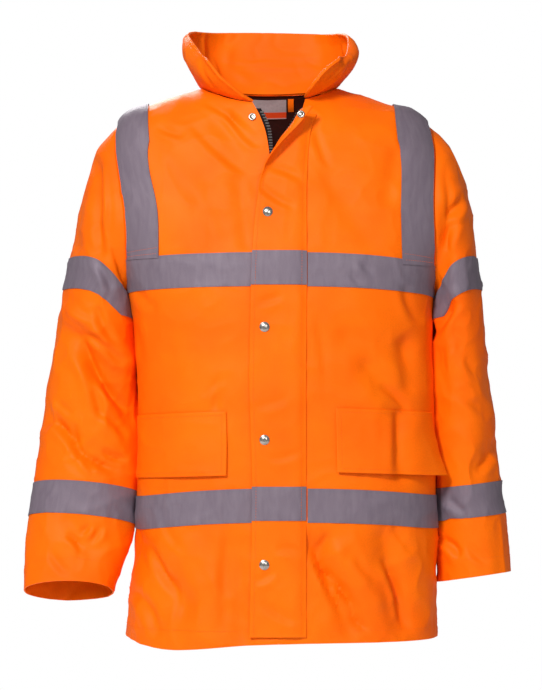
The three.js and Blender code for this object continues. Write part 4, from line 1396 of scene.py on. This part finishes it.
def build_neck_pieces():
    turn, level = np.meshgrid(mix(0.69, 1.31, steps(400.0, 6.0, False, False)),
                              mix(3.4, 6.95, steps(250.0, 6.0, False, False)))
    quilt = 0.5 * soft_noise(torso(turn, level), 24, 51)
    lining = shell("back_lining_cloth", on_body(turn, level, quilt - LINING_IN),
                   on_body(turn, level, quilt - LINING_IN - 1), [taffeta])
    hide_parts("back_lining")
    near = LINING_IN + 1.6
    x, z = np.meshgrid(np.linspace(LABEL["left"], LABEL["right"], 22),
                       np.linspace(LABEL["bottom"], LABEL["top"], 12))
    curl = 0.8 * np.sin((x - LABEL["left"]) / 17) + 0 * z
    label = shell("neck_label_ribbon", inside_back(x, z, -near - 0.8 - curl), inside_back(x, z, -near - curl),
                  [woven_label("damask_label_ribbon")])
    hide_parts("neck_label")
    x, z = np.meshgrid(np.linspace(31, 40, 6), np.linspace(-26, -7, 10))
    bow = 2.2 * np.sin((z + 26) / 19 * np.pi)
    loop = shell("hanging_loop_ribbon", inside_back(x, z, -near - 1.2 - bow), inside_back(x, z, -near - bow),
                 [oxford])
    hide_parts("hanging_loop")


build_neck_pieces()

# %% [markdown]
# Sewing shows as short dashes of thread that lie on the cloth, a few millimetres in from each seam or
# edge. Every stitch is a slim spindle of six points. Curves with a bevel would be rounder, but there
# are thousands of stitches and each is less than a millimetre thick.

# %% Stitches
STITCH_LONG, STITCH_GAP, STITCH_RADIUS, THREAD_LIFT = 3.0, 1.2, 0.42, 0.1


def stitch_run(line, above):
    """Spindles end to end along a line; above gives each point moved out by 1 mm."""
    run = np.concatenate([[0], np.linalg.norm(np.diff(line, axis=0), axis=1).cumsum()])
    at = np.arange(2.0, run[-1] - 2.0, STITCH_LONG + STITCH_GAP)

    def sample(values, where):
        return np.stack([np.interp(where, run, values[:, axis]) for axis in range(3)], axis=-1)

    centre = sample(line, at)
    up = unit(sample(above, at) - centre)
    way = unit(sample(line, at + 1) - sample(line, at - 1))
    across = np.cross(up, way)
    half, radius = way * STITCH_LONG / 2, STITCH_RADIUS
    return np.stack([centre - half - up * 0.1, centre + half - up * 0.1, centre + across * radius,
                     centre + up * radius, centre - across * radius, centre - up * radius], axis=1)


def sewn(name, lines, finish):
    """All the stitches of one thread, joined in one mesh."""
    points = np.concatenate([stitch_run(*line) for line in lines])
    mesh = many(name, points, [
        (0, 3, 2), (0, 4, 3), (0, 5, 4), (0, 2, 5), (1, 2, 3), (1, 3, 4), (1, 4, 5), (1, 5, 2)])
    mesh.uv_layers.new(name="flat")
    mesh.shade_smooth()
    print(name, "stitches:", len(points))
    return new_object(name, mesh, [finish])


def orange_lines():
    """Where the orange thread shows: flap, pocket flaps, hem, cuffs, collar and the tapes' crossings."""
    lines = list(brace_ends)
    z = np.linspace(FLAP["z"][0] + 4, FLAP["z"][-1] - 6, 300)
    on_tape = np.any([(z < top + 1) & (z > top - TAPE_WIDTH - 1) for top in FLAP_TAPE_TOPS.values()], axis=0)
    lift = np.where(on_tape, TAPE_LIFT + TAPE_WALL, 0.0)
    for share in (8.0 / FLAP_WIDTH, 1 - 6.5 / FLAP_WIDTH):
        lines.append(stitch_line(on_flap, 0 * z + share, z, lift + THREAD_LIFT))
    for surface in pocket.values():
        across, down = np.linspace(0.03, 0.97, 90), np.linspace(0.04, 0.96, 50)
        inset_u, inset_v = 5.5 / POCKET_WIDTH, 6.0 / POCKET_HEIGHT
        for u, v in ((across, 0 * across + inset_v), (across, 0 * across + 1 - inset_v),
                     (0 * down + inset_u, down), (0 * down + 1 - inset_u, down)):
            lines.append(stitch_line(surface, u, v, POCKET_WALL + THREAD_LIFT))
    hem = np.linspace(0.07, 1.96, 700)
    lines.append(stitch_line(on_body, hem, 0 * hem + 0.085, THREAD_LIFT))
    for surface in sleeve_surface.values():
        for line in sleeve_band(surface, 0.93, 0.93, [22.0]):
            lines.append(stitch_ring(surface, line, SEAM_ROLL + THREAD_LIFT))
    turn = np.linspace(COLLAR["turn"][0] + 0.01, COLLAR["turn"][-1] - 0.01, 400)
    for height in (0.05, 0.93):
        lines.append(stitch_line(on_collar, turn, 0 * turn + height, THREAD_LIFT))
    shoulder = np.linspace(SHOULDER + 0.03, NECK - 0.05, 80)
    for side, _ in SIDES:
        lines.append(stitch_line(on_body, 0 * shoulder + side * 0.512, shoulder, THREAD_LIFT))
    return lines


sewn("orange_stitching", orange_lines(), orange_thread)
sewn("grey_stitching", tape_edges, grey_thread)

# %% [markdown]

# %% [markdown]
# The jacket stands in a white studio. The floor is below the hem, because the jacket is held up as if
# worn. A white sky gives the even light of a packshot, but on its own it would leave the cloth flat.
# So it is kept low, and a small lamp from the upper left shapes the folds. A wide, faint one fills the
# shadows, and one behind lights the shoulders.

# %% Floor, lamps and camera
FLOOR_Z, FLOOR_SIZE = -1.2, 3.2
SKY_LIGHT = 0.26


def studio_floor():
    mesh = bpy.data.meshes.new("studio_floor")
    half = FLOOR_SIZE / 2
    corners = [(x, y, FLOOR_Z) for x, y in ((-half, -half), (half, -half), (half, half), (-half, half))]
    mesh.from_pydata(corners, [], [(0, 1, 2, 3)])
    material, shader = new_material("matt_white_studio_paint", Roughness=0.9)
    speckle = add(material, "ShaderNodeTexNoise", {"Scale": 40.0}).outputs["Fac"]
    colour = two_shades(material, speckle, linear("#f6f6f6"), linear("#fbfbfb"))
    connect(material, colour, shader, "Base Color")
    mesh.materials.append(material)
    put_in_scene("studio_floor", mesh)


def soft_lamp(name, place, target, size, watts):
    lamp = bpy.data.lights.new(name, "AREA")
    lamp.shape, lamp.size, lamp.energy = "DISK", size, watts
    holder = put_in_scene(name, lamp)
    holder.location = place
    holder.rotation_euler = (Vector(target) - Vector(place)).to_track_quat("-Z", "Y").to_euler()


studio_floor()
CHEST = (0.0, 0.0, -0.35)
soft_lamp("key_lamp", (-1.2, -3.0, 1.35), CHEST, 0.7, 108)
soft_lamp("fill_lamp", (0.9, -3.2, 0.4), CHEST, 1.4, 18)
soft_lamp("back_lamp", (-0.8, 2.5, 1.7), CHEST, 1.0, 70)
sky = bpy.data.worlds.new("white_studio_sky")
sky.use_nodes = True
backdrop = sky.node_tree.nodes["Background"]
backdrop.inputs["Color"].default_value = (1, 1, 1, 1)
ray = add(sky, "ShaderNodeLightPath").outputs["Is Camera Ray"]
connect(sky, ranged(sky, ray, SKY_LIGHT, 1.0, 0.0, 1.0), backdrop, "Strength")
bpy.context.scene.world = sky
bpy.context.scene.view_settings.view_transform = "Standard"

lens = bpy.data.cameras.new("photo_camera")
lens.sensor_fit, lens.sensor_width, lens.lens = "HORIZONTAL", 36.0, 165.1
camera = put_in_scene("photo_camera", lens)
camera.location = (0.0038, -3.8, -0.3917)
camera.rotation_euler = (math.radians(90), 0, 0)
bpy.context.scene.camera = camera
print("lens, mm:", lens.lens)
